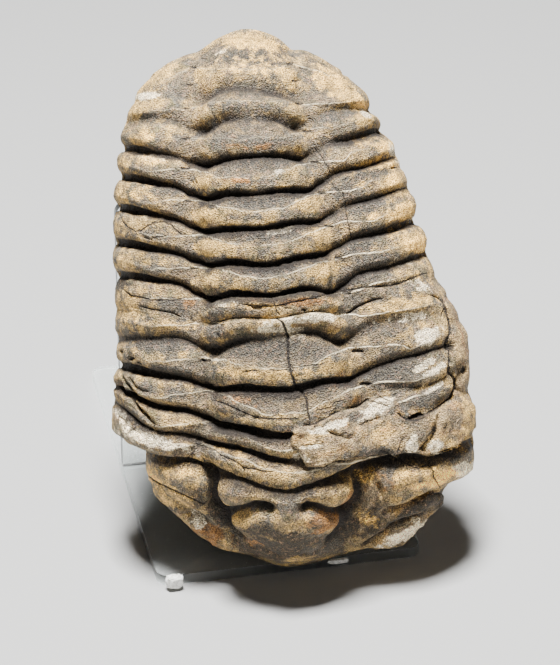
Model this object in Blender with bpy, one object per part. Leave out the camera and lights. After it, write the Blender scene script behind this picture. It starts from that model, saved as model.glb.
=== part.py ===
"""A Neseuretus trilobite in its matrix, leaning on a clear acrylic display stand.

World: metres, +Z up, +X along the stand's front edge, +Y towards its back. The origin is the
middle of the stand's underside. The fossil has a frame of its own: X across the body, Y up the
body from the chin, Z out of the shell's back. Sizes below are millimetres.
"""

import math

import bmesh
import bpy
import numpy as np
from mathutils import Matrix, Vector, noise

MM = 0.001
GAP = 0.3

# The stand: two plates of clear acrylic, an upright glued across a base
BASE_WIDTH = 50.0
BASE_DEPTH = 82.0
PLATE = 2.2
UPRIGHT_HEIGHT = 57.0
UPRIGHT_FRONT = -1.3
CORNER_RADIUS = 2.5
CORNER_STEPS = 5

# Display putty on the base's front edge: place across, height, half sizes and the bumps' seed
PUTTY = (
    ("putty_dab", -22.2, 1.6, (1.6, 1.0, 1.4), 2.0),
    ("putty_crumb", 8.8, 1.5, (1.9, 0.35, 0.55), 5.0),
)

# The fossil's place on the stand: its chin over the front edge, its back against the upright
LEAN_BACK = math.radians(28)
TURN = math.radians(-12)
CHIN_PLACE = (-2.9, -45.0, 4.1)

# The shell is drawn as furrow lines, from the top down to the chin. ACROSS is where each line
# is measured, from the left edge (-1) to the right edge (1), with the two axial furrows at AXIAL.
AXIAL = 0.35
ACROSS = (-1.0, -0.74, -0.48, -AXIAL, -0.21, 0.0, 0.21, AXIAL, 0.48, 0.74, 1.0)

# One row for each line: its height above the chin at the places of ACROSS, the two axial
# furrows across, how far the ring crest, the furrows and the edges stand out, and how deep
# the gap along it is on the left pleura, the ring's left and right, and the right pleura.
LINES = (
    ((89.4, 91.8, 93.4, 94.0, 95.7, 97.5, 96.3, 94.3, 94.1, 91.8, 89.0),
     (-14.7, 1.7), (3, 0, -2), (0, 0, 0, 0)),
    ((86.7, 86.1, 85.4, 84.9, 87.1, 87.4, 86.5, 85.4, 86.3, 86.6, 86.7),
     (-15.2, 4.0), (13, 8, -3), (0.2, 0.7, 0.7, 0.3)),
    ((81.5, 81.5, 80.5, 79.1, 81.0, 81.4, 81.1, 79.8, 81.8, 83.1, 83.7),
     (-15.1, 4.3), (16, 10, -3), (1.1, 1.0, 0.9, 0.8)),
    ((76.7, 75.3, 74.1, 73.1, 74.1, 74.6, 74.9, 74.5, 76.4, 77.8, 79.9),
     (-14.9, 5.0), (18, 11.5, -3), (1.5, 1.3, 1.2, 1.2)),
    ((71.4, 69.9, 68.6, 67.1, 67.9, 67.8, 68.7, 68.9, 71.1, 72.8, 75.2),
     (-14.9, 6.4), (19.5, 12.5, -3), (1.7, 1.9, 1.6, 1.4)),
    ((65.8, 64.1, 62.6, 61.2, 61.6, 61.6, 62.9, 63.3, 65.1, 67.0, 69.5),
     (-14.7, 8.1), (20.3, 13, -3), (1.8, 2.0, 1.9, 1.4)),
    ((59.4, 57.9, 56.5, 55.1, 55.7, 55.2, 56.7, 57.4, 59.2, 60.9, 63.2),
     (-14.1, 9.3), (20.7, 13.3, -3), (1.8, 2.1, 2.0, 1.4)),
    ((53.5, 52.2, 51.0, 49.2, 50.1, 49.6, 51.0, 50.6, 53.0, 54.8, 57.3),
     (-13.8, 10.4), (20.7, 13.3, -3), (1.8, 2.3, 2.1, 1.2)),
    ((47.7, 46.5, 45.4, 44.4, 45.2, 45.3, 46.7, 46.2, 47.8, 48.9, 49.4),
     (-14.1, 12.3), (20.5, 13.2, -3), (0.5, 0.5, 0.5, 0.5)),
    ((41.7, 41.7, 41.2, 39.7, 41.2, 42.1, 42.9, 41.3, 43.7, 45.2, 46.6),
     (-13.1, 12.0), (20.0, 13, -3), (1.2, 1.6, 1.5, 0.7)),
    ((36.9, 35.2, 34.0, 32.9, 33.4, 33.0, 34.6, 35.1, 36.9, 39.2, 41.5),
     (-12.4, 13.8), (19.3, 12.6, -3), (1.7, 2.0, 1.8, 1.4)),
    ((33.0, 29.7, 28.4, 27.0, 26.1, 24.9, 27.1, 30.4, 32.0, 33.4, 36.9),
     (-12.0, 15.2), (18.5, 12, -3), (2.0, 2.2, 0.2, 0.9)),
    ((30.0, 25.3, 24.3, 23.3, 22.3, 20.1, 21.6, 23.6, 27.1, 28.7, 32.6),
     (-13.5, 16.2), (17.8, 11.5, -3), (1.1, 1.2, 0.1, 0.8)),
    ((21.2, 20.4, 19.7, 18.3, 16.6, 14.5, 16.6, 18.8, 20.4, 20.9, 23.4),
     (-12.4, 13.8), (16.8, 10.5, -3), (2.0, 1.7, 1.7, 2.8)),
    ((18.9, 15.9, 13.7, 12.4, 11.1, 9.2, 10.7, 12.4, 13.7, 14.7, 19.3),
     (-11.2, 12.8), (14.5, 8, -3), (0, 0, 0, 0)),
    ((16.7, 11.2, 7.4, 6.1, 5.1, 3.4, 4.4, 5.8, 6.8, 8.1, 16.7),
     (-10.2, 11.8), (8, 3.5, -3), (0, 0, 0, 0)),
    ((15.6, 8.6, 4.0, 2.7, 1.7, -0.2, 0.7, 2.0, 3.1, 4.6, 16.0),
     (-9.6, 11.4), (-2, -2.5, -3), (0, 0, 0, 0)),
)
HEAD_LINE = 13
LAST_LINE = len(LINES) - 1

# The two side outlines, with a tip at each pleura and a notch between them, from the top down
LEFT_OUTLINE = (
    (-23.9, 89.4), (-26.8, 85.2), (-28.4, 81.5), (-29.3, 78.4), (-28.6, 76.6), (-30.1, 74.6),
    (-29.2, 71.5), (-30.7, 68.5), (-29.6, 65.7), (-30.9, 62.0), (-30.0, 59.4), (-30.9, 56.5),
    (-29.5, 53.2), (-30.5, 49.0), (-29.9, 47.2), (-30.3, 44.0), (-29.9, 41.6), (-30.2, 39.5),
    (-29.3, 36.8), (-30.7, 34.2), (-30.5, 31.0), (-31.1, 25.2), (-29.0, 23.4), (-24.9, 21.2),
    (-24.2, 15.6),
)
RIGHT_OUTLINE = (
    (13.3, 89.0), (16.6, 85.2), (16.3, 83.7), (18.5, 81.6), (18.2, 80.0), (21.3, 76.0),
    (22.1, 73.2), (23.9, 68.6), (25.1, 66.2), (24.7, 63.4), (27.1, 59.4), (27.0, 57.2),
    (28.6, 52.6), (30.8, 49.2), (33.0, 45.0), (34.7, 40.6), (35.1, 35.8), (34.6, 32.2),
    (35.8, 27.4), (35.6, 25.0), (35.8, 20.0), (35.1, 16.0),
)

# Swellings of the head, and of the broken crust right of it: middle, half sizes and height
SWELLINGS = (
    ("left rear lobe of the glabella", (-8.0, 14.6), (4.2, 2.6), 1.9),
    ("right rear lobe of the glabella", (9.6, 15.0), (4.4, 2.8), 2.0),
    ("left middle lobe", (-5.4, 9.6), (3.4, 1.7), 1.3),
    ("right middle lobe", (6.8, 9.9), (3.9, 1.9), 1.4),
    ("ridge between the lobes", (1.2, 12.2), (2.4, 3.6), 0.9),
    ("front lobe", (1.2, 5.6), (7.4, 2.4), 1.2),
    ("left cheek", (-17.8, 16.6), (4.6, 3.6), 1.8),
    ("lower rim of the left cheek", (-13.4, 7.4), (4.6, 1.5), 1.1),
    ("right cheek", (21.2, 16.2), (7.0, 3.8), 2.0),
    ("lower rim of the right cheek", (17.6, 8.8), (4.6, 1.8), 0.8),
    ("broken crust", (18.5, 25.0), (11.0, 3.6), 1.0),
)

# Furrows of the head: the points they run through, half width and depth
HEAD_FURROWS = (
    ("left axial", ((-12.4, 18.3), (-11.9, 12.9), (-10.4, 9.2), (-8.6, 5.6), (-6.4, 3.5)), 1.1, 2.6),
    ("right axial", ((13.8, 18.8), (13.5, 14.5), (12.6, 11.8), (9.9, 5.5), (8.1, 3.1)), 1.1, 2.4),
    ("left between lobes", ((-11.0, 12.3), (-8.0, 11.4), (-4.5, 12.0), (-2.9, 11.0)), 0.8, 1.7),
    ("right between lobes", ((12.6, 11.9), (9.8, 11.6), (6.2, 12.0), (3.9, 11.0)), 0.8, 1.7),
    ("left before front lobe", ((-9.4, 8.0), (-6.5, 7.2), (-3.0, 7.6)), 0.7, 0.9),
    ("right before front lobe", ((11.6, 8.6), (8.5, 7.6), (4.6, 8.0)), 0.7, 0.9),
    ("right cheek border", ((19.1, 11.1), (23.6, 11.4), (25.4, 12.9), (29.0, 15.1)), 0.8, 1.3),
    ("right lower border", ((15.5, 5.1), (19.0, 7.8), (23.6, 9.6), (27.3, 11.5)), 0.7, 1.4),
)

# The rock behind the shell, and the tail shield that curls over it from the top
ROCK_DEPTH = 10.5
ROCK_ROUGHNESS = 1.4
ROCK_LUMP = 11.0
TAIL_LENGTH = 29.0
TAIL_HALF_WIDTH = 18.0
TAIL_MIDDLE = -6.4
TAIL_RIB_PITCH = 3.6
TAIL_RIB_HEIGHT = 0.6
TAIL_RAISE = 1.4
TAIL_DRIFT = 1.8
TAIL_EDGE = 1.8
TAIL_AXIS = 0.42
TAIL_AXIS_RAISE = 1.2
TAIL_SWEEP = 0.3

# Mesh rows within one segment, at the top and on the head, and columns across half the shell
SEGMENT_ROWS = (0.0, 0.11, 0.36, 0.62, 0.89)
TOP_ROWS = (0.0, 0.06, 0.16, 0.3, 0.5, 0.7, 0.88)
HEAD_ROWS = (0.0, 0.1, 0.25, 0.45, 0.65, 0.85, 1.05, 1.3, 1.55, 1.8, 2.05, 2.3, 2.55, 2.75, 2.9, 2.97, 3.0)
HALF_COLUMNS = (0.0, 0.08, 0.16, 0.24, 0.3, AXIAL, 0.4, 0.47, 0.56, 0.66, 0.76, 0.85, 0.92, 0.97, 1.0)
BACK_COLUMNS = 32
ROWS_PER_RIB = 4
ROCK_ROWS = 18
ABOVE_UPRIGHT = 4.0


def fade(value, start, end):
    """0 at start, 1 at end, with a smooth way between."""
    share = np.clip((value - start) / (end - start), 0.0, 1.0)
    return share * share * (3.0 - 2.0 * share)


def curve_through(stations, values, at, end_slopes=None):
    """Smooth curve through values (last axis: stations), read at the places in at."""
    stations = np.asarray(stations, float)
    values = np.asarray(values, float)
    step = np.diff(stations)
    chord = np.diff(values, axis=-1) / step
    slope = np.empty_like(values)
    slope[..., 1:-1] = (chord[..., :-1] * step[1:] + chord[..., 1:] * step[:-1]) / (step[1:] + step[:-1])
    slope[..., 0] = chord[..., 0]
    slope[..., -1] = chord[..., -1]
    if end_slopes is not None:
        slope[..., 0] = end_slopes[0]
        slope[..., -1] = end_slopes[1]
    index = np.clip(np.searchsorted(stations, at, side="right") - 1, 0, len(stations) - 2)
    share = (at - stations[index]) / step[index]
    span = step[index]
    start = values[..., index]
    end = values[..., index + 1]
    return (
        start * (1 + 2 * share) * (1 - share) ** 2
        + end * share**2 * (3 - 2 * share)
        + slope[..., index] * span * share * (1 - share) ** 2
        + slope[..., index + 1] * span * share**2 * (share - 1)
    )


def outline_x(outline, height):
    """How far across an outline stands at a height."""
    across, up = np.array(outline).T
    return np.interp(height, up[::-1], across[::-1])


def across_grid(columns, left, furrow_left, furrow_right, right):
    """Millimetres across for each row's share across, with the furrows at AXIAL."""
    t = columns[None, :]
    left, furrow_left, furrow_right, right = (v[:, None] for v in (left, furrow_left, furrow_right, right))
    ring = furrow_left + (furrow_right - furrow_left) * (t + AXIAL) / (2 * AXIAL)
    left_pleura = left + (furrow_left - left) * (t + 1) / (1 - AXIAL)
    right_pleura = right + (furrow_right - right) * (1 - t) / (1 - AXIAL)
    return np.where(t < -AXIAL, left_pleura, np.where(t > AXIAL, right_pleura, ring))


def smooth_shell(columns, rows):
    """The shell without its relief, as a grid of points: rows down the body, columns across."""
    lines = np.arange(len(LINES))
    heights = np.array([line[0] for line in LINES]).T
    furrows = np.array([line[1] for line in LINES]).T
    stands = np.array([line[2] for line in LINES], float).T
    level = np.zeros(len(heights))
    heights = curve_through(lines, heights, rows, (level, heights[:, -1] - heights[:, -2]))
    furrow_left, furrow_right = curve_through(lines, furrows, rows)
    over_top = 1.5 * (stands[:, 1] - stands[:, 0])
    under_chin = 1.5 * (stands[:, -1] - stands[:, -2])
    crest, furrow, edge = curve_through(lines, stands, rows, (over_top, under_chin))[:, :, None]
    left = outline_x(LEFT_OUTLINE, heights[0])
    right = outline_x(RIGHT_OUTLINE, heights[-1])
    x = across_grid(columns, left, furrow_left, furrow_right, right)
    y = curve_through(ACROSS, heights.T, columns)
    share = np.abs(columns)[None, :]
    ring = furrow + (crest - furrow) * np.sqrt(np.clip(1 - (share / AXIAL) ** 2, 0, 1))
    out = np.clip((share - AXIAL) / (1 - AXIAL), 0, 1)
    pleura = edge + (furrow - edge) * np.sqrt(1 - out**2.4) + 0.8 * np.sin(math.pi * out) * (1 - out)
    z = np.where(share < AXIAL, ring, pleura)
    return np.stack([x, y, z], axis=-1)


def normals_of(grid):
    """Unit normals of a grid of points, out of the shell's back."""
    down = np.gradient(grid, axis=0)
    across = np.gradient(grid, axis=1)
    normal = np.cross(down, across)
    return normal / np.maximum(np.linalg.norm(normal, axis=-1, keepdims=True), 1e-9)


def segment_relief(columns, rows):
    """Rings and pleurae: a gap along each line, a band above it that stands out, a lower band below."""
    share = (rows % 1.0)[:, None]
    upper = np.minimum(rows.astype(int), LAST_LINE - 1)
    gap_places = (-0.6, -0.15, 0.12, 0.55)
    depths = np.array([np.interp(columns, gap_places, line[3]) for line in LINES])
    gap = depths[upper] * np.exp(-((share / 0.085) ** 2))
    gap += depths[upper + 1] * np.exp(-(((1 - share) / 0.07) ** 2))
    on_ring = 1 - fade(np.abs(columns), AXIAL - 0.06, AXIAL + 0.04)[None, :]
    raised = fade(share, 0.4, 0.62) * np.sqrt(np.clip(1 - np.abs(2 * share - 1) ** 5, 0, 1))
    rounded = np.sin(math.pi * share) ** 0.6
    band = on_ring * (0.9 * raised - 0.3) + (1 - on_ring) * (0.9 * rounded - 0.3)
    strength = np.minimum(1, depths[upper] / 1.2 + 0.3) * (rows < HEAD_LINE)[:, None]
    return (band * strength - gap) * (1 - fade(np.abs(columns), 0.93, 1.0))[None, :]


def distance_to_path(x, y, path):
    """Shortest distance from each point to a path of straight runs."""
    nearest = np.full(x.shape, 1e9)
    for (ax, ay), (bx, by) in zip(path, path[1:]):
        run = np.array((bx - ax, by - ay))
        share = np.clip(((x - ax) * run[0] + (y - ay) * run[1]) / (run @ run), 0, 1)
        nearest = np.minimum(nearest, np.hypot(x - ax - share * run[0], y - ay - share * run[1]))
    return nearest


def head_relief(grid):
    """The lobes and cheeks of the head, and the furrows that part them."""
    x, y = grid[..., 0], grid[..., 1]
    relief = np.zeros(x.shape)
    for _, (middle_x, middle_y), (half_x, half_y), height in SWELLINGS:
        from_middle = ((x - middle_x) / half_x) ** 2 + ((y - middle_y) / half_y) ** 2
        relief += height * np.exp(-(from_middle**1.3))
    for _, path, half_width, depth in HEAD_FURROWS:
        relief -= depth * np.exp(-((distance_to_path(x, y, path) / half_width) ** 2))
    return relief


def front_sheet(columns, rows):
    """The shell with its relief."""
    grid = smooth_shell(columns, rows)
    relief = segment_relief(columns, rows)
    inside = (1 - fade(np.abs(columns), 0.9, 1.0))[None, :] * fade(LAST_LINE - rows, 0.0, 0.5)[:, None]
    relief += head_relief(grid) * inside
    return grid + relief[..., None] * normals_of(grid)


def smooth_back(columns, rows):
    """The back of the rock without its relief."""
    grid = smooth_shell(columns, rows)
    ends = smooth_shell(columns, np.array((0.0, float(LAST_LINE))))[..., 2]
    edge = LINES[HEAD_LINE][2][2]
    near_top = np.clip(1 - rows / 2.0, 0, 1)[:, None] ** 2
    near_chin = np.clip(1 - (LAST_LINE - rows) / 2.0, 0, 1)[:, None] ** 2
    rim = edge + (ends[:1] - edge) * near_top + (ends[1:] - edge) * near_chin
    middle = 2 * rows / LAST_LINE - 1
    fullness = np.sqrt(1 - np.abs(columns) ** 3)[None, :] * np.sqrt(1 - np.abs(middle) ** 5)[:, None]
    shallow = 1 - 0.25 * fade(grid[..., 1], 55, 80)
    grid[..., 2] = rim - ROCK_DEPTH * shallow * fullness
    return grid, fullness


def length_down(rows):
    """Millimetres down the middle of the back, from the top, at each row."""
    fine = np.linspace(0.0, LAST_LINE, 400)
    middle = smooth_back(np.array((-0.01, 0.0, 0.01)), fine)[0][:, 1]
    steps = np.linalg.norm(np.diff(middle, axis=0), axis=1)
    return np.interp(rows, fine, np.concatenate([[0.0], np.cumsum(steps)]))


def row_at_length(lengths):
    """The rows that stand at these millimetres down the back."""
    fine = np.linspace(0.0, LAST_LINE, 400)
    return np.interp(lengths, length_down(fine), fine)


def tail_relief(x, down):
    """The ribbed tail shield, narrowing down the back of the fossil."""
    share = np.clip(down / TAIL_LENGTH, 0, 1)
    half_width = TAIL_HALF_WIDTH * (1 - share**1.7) + 0.01
    aside = np.abs(x - TAIL_MIDDLE - TAIL_DRIFT * share)
    on_tail = 1 - fade(aside, half_width - TAIL_EDGE, half_width + TAIL_EDGE)
    axis_edge = TAIL_AXIS * half_width
    on_axis = 1 - fade(aside, 0.6 * axis_edge, 1.4 * axis_edge)
    swept = down - TAIL_SWEEP * np.maximum(0, aside - axis_edge)
    ribs = TAIL_RIB_HEIGHT * np.cos(2 * math.pi * swept / TAIL_RIB_PITCH)
    return on_tail, on_tail * (TAIL_RAISE + TAIL_AXIS_RAISE * on_axis + ribs * (1 - share**4))


def back_sheet(columns, rows):
    """The rough rock behind the shell, with the tail shield on it."""
    grid, fullness = smooth_back(columns, rows)
    x, y = grid[..., 0], grid[..., 1]
    on_tail, tail = tail_relief(x, length_down(rows)[:, None])
    lumps = [noise.fractal(Vector((u, v, 30.0)) / ROCK_LUMP, 1.0, 2.0, 3) for u, v in zip(x.flat, y.flat)]
    rock = ROCK_ROUGHNESS * np.array(lumps).reshape(x.shape) * (1 - on_tail)
    relief = (rock + tail) * np.sqrt(fullness)
    return grid - relief[..., None] * normals_of(grid)


def rim_of(index, columns, rows):
    """The vertices round a grid's rim, each with its place along the rim, from 0 to 4."""
    across = (columns - columns[0]) / (columns[-1] - columns[0])
    down = (rows - rows[0]) / (rows[-1] - rows[0])
    vertices = [*index[0, :-1], *index[:-1, -1], *index[-1, :0:-1], *index[:0:-1, 0]]
    places = [*across[:-1], *(1 + down[:-1]), *(3 - across[:0:-1]), *(4 - down[:0:-1])]
    return [int(vertex) for vertex in vertices], places


def stitch(outer, outer_places, inner, inner_places):
    """Triangles between two rims, stepping along whichever of them is behind."""
    faces = []
    i, j = 0, 0
    while i < len(outer) or j < len(inner):
        next_outer = outer_places[i + 1] if i + 1 < len(outer) else 4.0 + (i + 1 > len(outer))
        next_inner = inner_places[j + 1] if j + 1 < len(inner) else 4.0 + (j + 1 > len(inner))
        a, b = outer[i % len(outer)], inner[j % len(inner)]
        if next_outer <= next_inner:
            i += 1
            faces.append((a, outer[i % len(outer)], b))
        else:
            j += 1
            faces.append((a, inner[j % len(inner)], b))
    return faces


def sheet_faces(index, front):
    """Quads of a grid, facing out of the front or out of the back."""
    a, b = index[:-1, :-1].ravel(), index[:-1, 1:].ravel()
    d, c = index[1:, :-1].ravel(), index[1:, 1:].ravel()
    corners = (a, d, c, b) if front else (a, b, c, d)
    return [tuple(int(corner) for corner in face) for face in zip(*corners)]


def shell_mesh(columns, rows, back_columns, back_rows):
    """Vertices and faces of the fossil: the shell, the back of the rock, and the seam between them."""
    front = front_sheet(columns, rows)
    back = back_sheet(back_columns, back_rows)
    front_index = np.arange(front[..., 0].size).reshape(front.shape[:2])
    back_index = front_index.size + np.arange(back[..., 0].size).reshape(back.shape[:2])
    vertices = np.concatenate([front.reshape(-1, 3), back.reshape(-1, 3)])
    seam = stitch(*rim_of(front_index, columns, rows), *rim_of(back_index, back_columns, back_rows))
    return vertices, sheet_faces(front_index, True) + sheet_faces(back_index, False) + seam


def keep_off_stand(points):
    """World points in millimetres, moved clear of the base's top and the upright's front."""
    points = points.copy()
    points[:, 2] = np.maximum(points[:, 2], PLATE + GAP)
    clear_top = PLATE + UPRIGHT_HEIGHT + ABOVE_UPRIGHT
    furthest = UPRIGHT_FRONT - GAP - 0.05 + 1.0 * np.maximum(0, points[:, 2] - clear_top)
    points[:, 1] = np.minimum(points[:, 1], furthest)
    return points


def material(name, colour, roughness, alpha=1.0):
    made = bpy.data.materials.new(name)
    made.use_nodes = True
    shader = made.node_tree.nodes["Principled BSDF"]
    shader.inputs["Base Color"].default_value = (*colour, 1.0)
    shader.inputs["Roughness"].default_value = roughness
    shader.inputs["Metallic"].default_value = 0.0
    shader.inputs["Alpha"].default_value = alpha
    return made


def object_from(name, mesh, finish):
    mesh.materials.append(finish)
    made = bpy.data.objects.new(name, mesh)
    bpy.context.scene.collection.objects.link(made)
    return made


def fossil_matrix():
    """Leans the fossil back and turns it on the stand. Lengths stay millimetres."""
    turn = Matrix.Rotation(TURN, 4, "Z") @ Matrix.Rotation(math.pi / 2 - LEAN_BACK, 4, "X")
    return Matrix.Translation(CHIN_PLACE) @ turn


def trilobite(finish):
    half = np.array(HALF_COLUMNS)
    columns = np.concatenate([-half[:0:-1], half])
    rows = list(TOP_ROWS)
    rows += [line + share for line in range(1, HEAD_LINE) for share in SEGMENT_ROWS]
    rows += [HEAD_LINE + share for share in HEAD_ROWS]
    back_columns = np.sin(np.linspace(-1.45, 1.45, BACK_COLUMNS))
    tail_rows = row_at_length(np.arange(0.4, TAIL_LENGTH + 1.5, TAIL_RIB_PITCH / ROWS_PER_RIB))
    rock_rows = np.linspace(tail_rows[-1], LAST_LINE - 0.1, ROCK_ROWS)[1:]
    back_rows = np.concatenate([tail_rows, rock_rows])
    vertices, faces = shell_mesh(columns, np.array(rows), back_columns, back_rows)
    place = np.array(fossil_matrix())
    world = keep_off_stand(vertices @ place[:3, :3].T + place[:3, 3])
    local = (world - place[:3, 3]) @ place[:3, :3] * MM
    mesh = bpy.data.meshes.new("trilobite")
    mesh.from_pydata(local.tolist(), [], faces)
    mesh.validate()
    body = bmesh.new()
    body.from_mesh(mesh)
    bmesh.ops.triangulate(body, faces=body.faces[:])
    bmesh.ops.recalc_face_normals(body, faces=body.faces[:])
    body.to_mesh(mesh)
    body.free()
    mesh.shade_smooth()
    fossil = object_from("trilobite", mesh, finish)
    fossil.rotation_euler = (math.pi / 2 - LEAN_BACK, 0.0, TURN)
    fossil.location = Vector(CHIN_PLACE) * MM
    return fossil


def plate(name, size, middle, rounded_axis, only_top, finish):
    """A flat plate with its corners rounded about one axis, all four or only the upper two."""
    body = bmesh.new()
    bmesh.ops.create_cube(body, size=1.0, matrix=Matrix.Diagonal((*size, 1.0)))
    corners = []
    for edge in body.edges:
        run = edge.verts[1].co - edge.verts[0].co
        along = abs(run[rounded_axis]) > 0.5 * size[rounded_axis]
        high = min(v.co.z for v in edge.verts) > 0
        if along and (high or not only_top):
            corners.append(edge)
    bmesh.ops.bevel(
        body, geom=corners, offset=CORNER_RADIUS, offset_type="OFFSET", segments=CORNER_STEPS,
        profile=0.5, affect="EDGES", clamp_overlap=True,
    )
    bmesh.ops.scale(body, verts=body.verts[:], vec=(MM, MM, MM))
    bmesh.ops.recalc_face_normals(body, faces=body.faces[:])
    mesh = bpy.data.meshes.new(name)
    body.to_mesh(mesh)
    body.free()
    made = object_from(name, mesh, finish)
    made.location = Vector(middle) * MM
    return made


def putty(name, middle, half_size, seed, finish):
    """A soft blob of display putty, flattened underneath."""
    body = bmesh.new()
    bmesh.ops.create_icosphere(body, subdivisions=2, radius=1.0)
    for vertex in body.verts:
        bump = 1.0 + 0.22 * noise.noise(vertex.co * 1.7 + Vector((seed, 0.0, 0.0)))
        vertex.co = Vector([c * bump * h for c, h in zip(vertex.co, half_size)])
        vertex.co.z = max(vertex.co.z, -0.9 * half_size[2])
    bmesh.ops.scale(body, verts=body.verts[:], vec=(MM, MM, MM))
    bmesh.ops.recalc_face_normals(body, faces=body.faces[:])
    mesh = bpy.data.meshes.new(name)
    body.to_mesh(mesh)
    body.free()
    mesh.shade_smooth()
    made = object_from(name, mesh, finish)
    made.location = Vector(middle) * MM
    return made


def build():
    for old in list(bpy.data.objects):
        bpy.data.objects.remove(old, do_unlink=True)
    stone = material("fossil stone", (0.42, 0.36, 0.28), 0.75)
    acrylic = material("clear acrylic", (0.9, 0.93, 0.94), 0.05, alpha=0.25)
    white = material("white putty", (0.86, 0.86, 0.84), 0.7)
    trilobite(stone)
    base_size = (BASE_WIDTH, BASE_DEPTH, PLATE)
    plate("stand_base", base_size, (0, 0, PLATE / 2), 2, False, acrylic)
    upright_size = (BASE_WIDTH, PLATE, UPRIGHT_HEIGHT - GAP)
    upright_middle = (0, UPRIGHT_FRONT + PLATE / 2, PLATE + GAP + (UPRIGHT_HEIGHT - GAP) / 2)
    plate("stand_upright", upright_size, upright_middle, 1, True, acrylic)
    for name, across, height, half_size, seed in PUTTY:
        place = (across, -BASE_DEPTH / 2 - GAP - 1.25 * half_size[1], height)
        putty(name, place, half_size, seed, white)


build()
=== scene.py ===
"""Looks of the Neseuretus fossil and its display stand.

The fossil has a frame of its own, in millimetres: X across the body, Y up the body from the
chin, Z out of the shell's back. The camera looks square on to it, so a mark on the shell can be
placed by where it shows in the photograph's 560 x 665 frame.
"""

import math

import bmesh
import bpy
import numpy as np
from mathutils import Matrix, Vector, noise


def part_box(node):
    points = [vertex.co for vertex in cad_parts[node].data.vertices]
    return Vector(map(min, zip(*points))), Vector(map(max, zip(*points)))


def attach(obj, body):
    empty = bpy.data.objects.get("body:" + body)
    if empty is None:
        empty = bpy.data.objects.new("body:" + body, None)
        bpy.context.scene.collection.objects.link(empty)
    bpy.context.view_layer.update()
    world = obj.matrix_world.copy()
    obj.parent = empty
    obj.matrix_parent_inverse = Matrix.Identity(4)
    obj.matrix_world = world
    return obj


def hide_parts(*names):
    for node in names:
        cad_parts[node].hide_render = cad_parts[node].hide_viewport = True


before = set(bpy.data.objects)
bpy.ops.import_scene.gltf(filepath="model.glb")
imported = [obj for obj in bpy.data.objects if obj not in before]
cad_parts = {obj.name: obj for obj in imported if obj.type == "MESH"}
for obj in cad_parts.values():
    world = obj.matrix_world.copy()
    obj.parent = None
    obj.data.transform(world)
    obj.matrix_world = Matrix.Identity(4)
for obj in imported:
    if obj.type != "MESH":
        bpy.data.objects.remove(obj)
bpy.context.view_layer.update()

MM = 0.001
GAP = 0.3

# The fossil's place on the stand, as in the solids
LEAN_BACK = math.radians(28)
TURN = math.radians(-12)
CHIN_PLACE = (-2.9, -45.0, 4.1)

# The photograph: its frame, and the camera's distance, height and focal length in pixels
PICTURE_WIDTH = 560
PICTURE_HEIGHT = 665
FOCAL_PX = 2860.0
SENSOR = 36.0
VIEW_DISTANCE = 524.9
VIEW_HEIGHT = 42.85

# The shell is drawn as furrow lines, from the top down to the chin. ACROSS is where each line
# is measured, from the left edge (-1) to the right edge (1), with the two axial furrows at AXIAL.
AXIAL = 0.35
ACROSS = (-1.0, -0.74, -0.48, -AXIAL, -0.21, 0.0, 0.21, AXIAL, 0.48, 0.74, 1.0)
GAP_PLACES = (-0.95, -0.6, -0.4, -0.26, 0.0, 0.24, 0.42, 0.6, 0.95)
FURROW_BLUR = 0.035

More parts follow.
